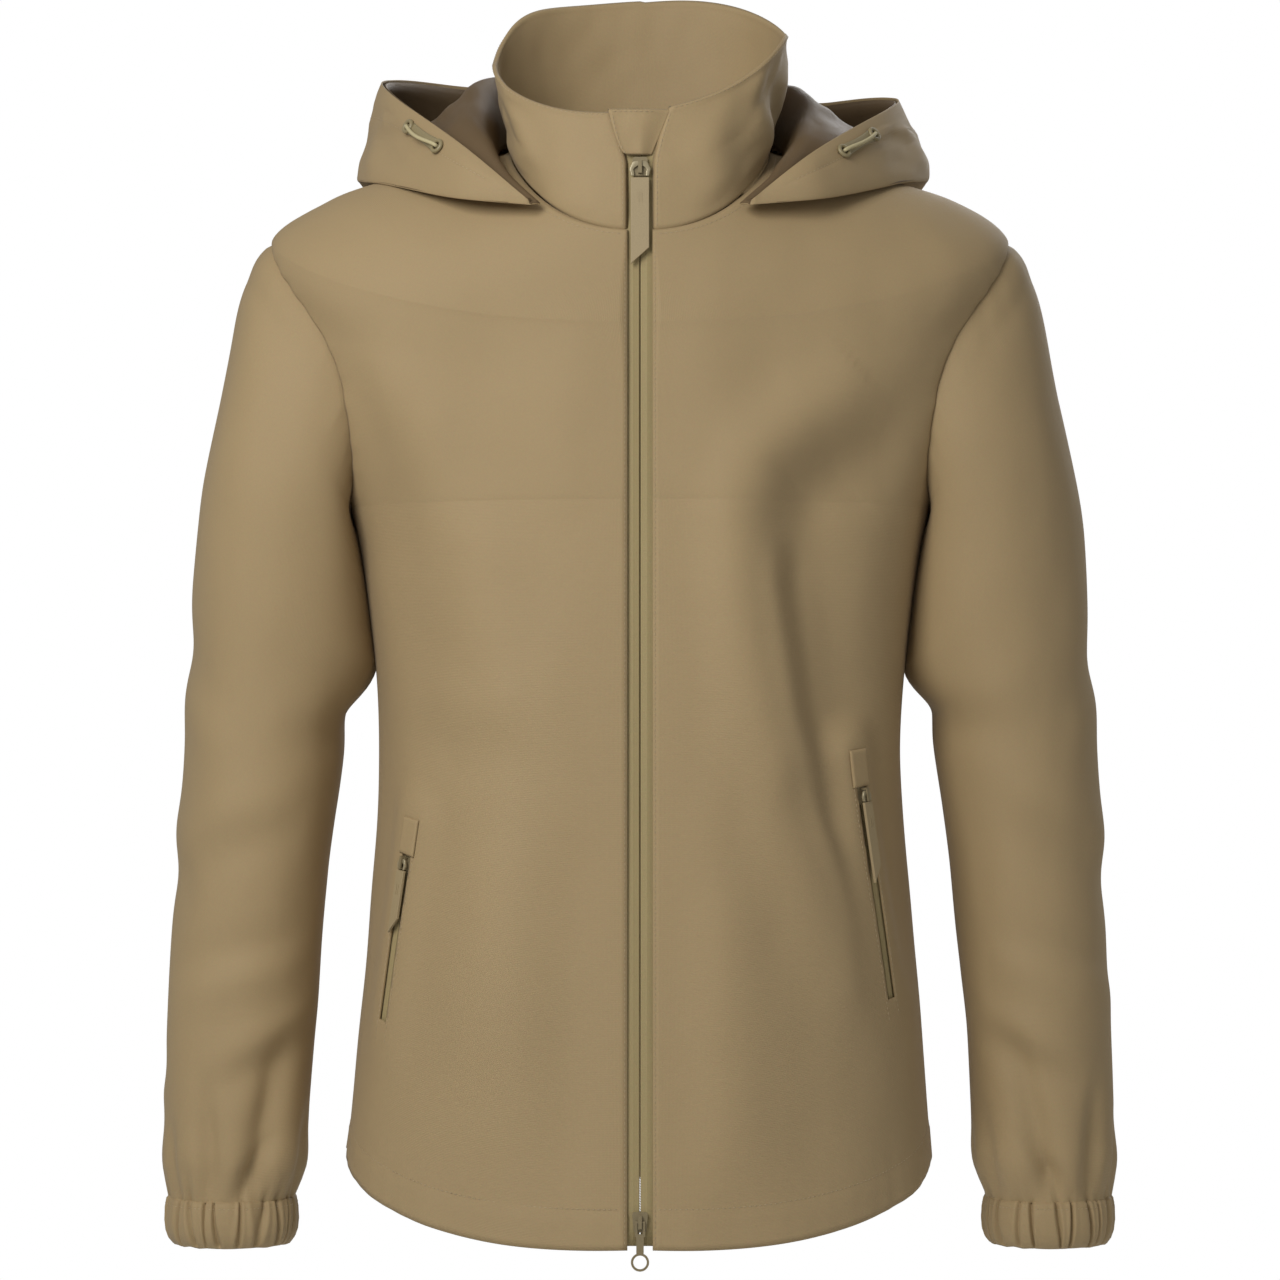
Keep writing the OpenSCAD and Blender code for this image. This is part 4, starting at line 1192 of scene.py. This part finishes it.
def pocket_frame(side):
    a = around(body_station(slit_v(side, 0)), slit_turn(side, 0))
    b = around(body_station(slit_v(side, 1)), slit_turn(side, 1))
    up = (a - b).normalized()
    across = up.cross(outward(body_station, slit_turn(side, 0.5), slit_v(side, 0.5))).normalized()
    into = up.cross(across)
    return Matrix.Translation(a * 0.001) @ Matrix((across, into, up)).transposed().to_4x4()


for side, hand, panel in ((-1, "right", right_front), (1, "left", left_front)):
    at_pocket = pocket_frame(side)
    length = POCKETS[side][2]
    # the slit is cut right through the panel's thickness
    slit = bmesh.new()
    block = bmesh.ops.create_cube(slit, size=0.001)["verts"]
    bmesh.ops.scale(slit, verts=block, vec=(9.0, 24, length))
    bmesh.ops.translate(slit, verts=block, vec=(0, 0, -length * 0.0005))
    bmesh.ops.transform(slit, matrix=at_pocket, verts=slit.verts)
    cut_through(panel, slit)
    # the two tapes lie just behind the cloth and close over the coils
    for tape_side, edge in ((-1, "inner" if side > 0 else "outer"), (1, "outer" if side > 0 else "inner")):
        def tape_place(a, b):
            share = 1.06 - 1.12 * b
            out = a if tape_side > 0 else 1 - a
            # a rib beside the coils, and the folded edge over them
            raised = 0.35 * bell(out - 0.35, 0.05) - 0.9 * math.exp(-out / 0.03)
            turn = slit_turn(side, share) + tape_side * (0.09 + TAPE_TURN * out)
            return body_point(turn, slit_v(side, share), 1.9 - raised)
        strip = cloth_grid(f"{hand}_pocket_{edge}_tape", 60, 24, tape_place, (0.011, length * 0.00112), thickness=0.5)
        strip.data.materials.append(tape_cloth)
        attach(strip, "shell")
        if tape_side > 0:
            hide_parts(f"{hand}_pocket_tapes")
    coil_strip(f"{hand}_pocket_zip_coils", -length - 4, 2, 5.2, at_pocket, (f"{hand}_pocket_coils",))
    at_slider = at_pocket @ Matrix.Translation((0, 0, (-GARAGE - 6.5) * 0.001))
    pull_tab(f"{hand}_pocket_tab", 8, 44 if side < 0 else 54, 6, -2.1, at_slider, f"{hand}_pocket_pull",
             f"{hand}_pocket_pull_tab")
    pull_arch(f"{hand}_pocket_pull_arch", 9, at_slider, -2.1, f"{hand}_pocket_pull", f"{hand}_pocket_pull_link")

    def garage_place(a, b):
        s = (GARAGE + 1 - b * (GARAGE + 4)) / length
        turn, v = slit_turn(side, s) + 6.6 * (a - 0.5), slit_v(side, s)
        edge = min(a, 1 - a, b, 1 - b) / 0.12
        return body_point(turn, v, -0.5 - 1.1 * math.sqrt(1 - (1 - min(1, edge)) ** 2))

    garage = cloth_grid(f"{hand}_pocket_garage_patch", 30, 20, garage_place, (0.012, 0.022), thickness=0.5)
    garage.data.materials.append(shell)
    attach(garage, "shell")
    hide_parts(f"{hand}_pocket_garage")

    def bag_place(a, b):
        turn = (30 if side > 0 else -86) + 56 * a
        v = slit_v(side, 1.15 - 1.25 * b)
        p = around(body_station(v), turn)
        loose = math.sin(math.pi * a) * math.sin(math.pi * b)
        return p - outward(body_station, turn, v) * (10.5 + (18 + 2.0 * noise.noise(p * 0.05)) * loose)

    bag = cloth_grid(f"{hand}_pocket_bag_cloth", 50, 40, bag_place, (0.16, 0.20), thickness=0.5)
    bag.data.materials.append(satin)
    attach(bag, "shell")
    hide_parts(f"{hand}_pocket_bag")

# ---- Topstitching ----
# Rows of matching thread: each stitch is a short rounded length sunk a little into the cloth. They hold
# the front edges to the zip, the hem, the neck, the collar's edge, the pockets and the hood's tunnel.
matching_thread = plain_finish("matching_thread", (0.46, 0.36, 0.22), 0.55, grain=0.0001)


def stitch_row(bm, at, samples, pitch=3.2, length=2.3, thick=0.42):
    """Lays stitches along at(share), which gives a point and the cloth's outward direction."""
    line = [at(k / samples) for k in range(samples + 1)]
    run = [0]
    for (a, _), (b, _) in zip(line, line[1:]):
        run.append(run[-1] + (b - a).length)
    k = 0
    for n in range(int(run[-1] / pitch)):
        middle = (n + 0.5) * pitch
        while run[k + 1] < middle:
            k += 1
        f = (middle - run[k]) / (run[k + 1] - run[k])
        (a, a_out), (b, b_out) = line[k], line[k + 1]
        along, out = (b - a).normalized(), a_out.lerp(b_out, f).normalized()
        across = out.cross(along).normalized()
        lie = Matrix((along * length, across * thick, along.cross(across) * thick * 0.8)).transposed().to_4x4()
        lie.translation = a.lerp(b, f) + out * 0.1
        bmesh.ops.create_icosphere(bm, subdivisions=1, radius=0.5, matrix=lie)


def finish_stitches(name, bm):
    bmesh.ops.scale(bm, verts=bm.verts, vec=(0.001, 0.001, 0.001))
    stitches = finish_cloth(name, bm, 0)
    stitches.data.materials.append(matching_thread)
    return stitches


def on_body(turn, v):
    return body_point(turn, v), outward(body_station, turn, v)


def edge_turn(v, x):
    return turn_at(body_station(v)[0], x)


def on_collar(a, v):
    turn = turn_at(collar_station(v)[0], GAP_HALF) * (1 - 2 * a) + 360 * a
    return collar_place(a, (v + 0.03) / 2.05), outward(collar_station, turn, v)


rows = bmesh.new()
HEM_ROW = 0.036
stitch_row(rows, lambda s: on_body(edge_turn(HEM_ROW, 10) * (1 - 2 * s) + 360 * s, HEM_ROW), 420)
for side in (-1, 1):
    stitch_row(rows, lambda s: on_body(side * edge_turn(0.004 + 0.985 * s, GAP_HALF + 1.5), 0.004 + 0.985 * s), 220)
    for offset in (-6.4, 6.4):
        def beside_slit(s):
            share = -0.02 + 1.04 * s
            v = slit_v(side, share)
            turn = slit_turn(side, share)
            per_turn = (around(body_station(v), turn + 0.5) - around(body_station(v), turn - 0.5)).length
            return on_body(turn + offset / per_turn, v)
        stitch_row(rows, beside_slit, 60)
stitch_row(rows, lambda s: on_body(edge_turn(0.99, 11) * (1 - 2 * s) + 360 * s,
                                   0.9975 - 0.006 * abs(math.cos(2 * math.pi * s))), 200)
stitch_row(rows, lambda s: on_collar(0.006 + 0.988 * s, 0.972), 240)
for end in (0.0045, 0.9955):
    stitch_row(rows, lambda s: on_collar(end, 0.02 + 0.94 * s), 40)
stitch_row(rows, lambda s: (guard_point(0.06, 0.02 + 0.92 * s, 1.1), Vector((0, -1, 0))), 24)
stitch_row(rows, lambda s: (guard_point(0.06 + 0.7 * s, 0.94, 1.1), Vector((0, -1, 0))), 24)
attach(finish_stitches("body_stitches", rows), "shell")

rim_rows = bmesh.new()
stitch_row(rim_rows, lambda s: (hood_point(-0.94 + 1.88 * s, 0.865, 0), hood_out(-0.94 + 1.88 * s, 0.865)), 260)
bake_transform(finish_stitches("hood_stitches", rim_rows))

for side, hand in ((-1, "right"), (1, "left")):
    cuff_row = bmesh.new()

    def round_cuff(s):
        angle = 2 * math.pi * (s if side > 0 else 1 - s)
        return cuff_place(side)(s, 0.455), Vector((math.cos(angle), math.sin(angle), 0))
    stitch_row(cuff_row, round_cuff, 150, pitch=2.8, length=2.0)
    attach(finish_stitches(f"{hand}_cuff_stitches", cuff_row), f"{hand}_sleeve")
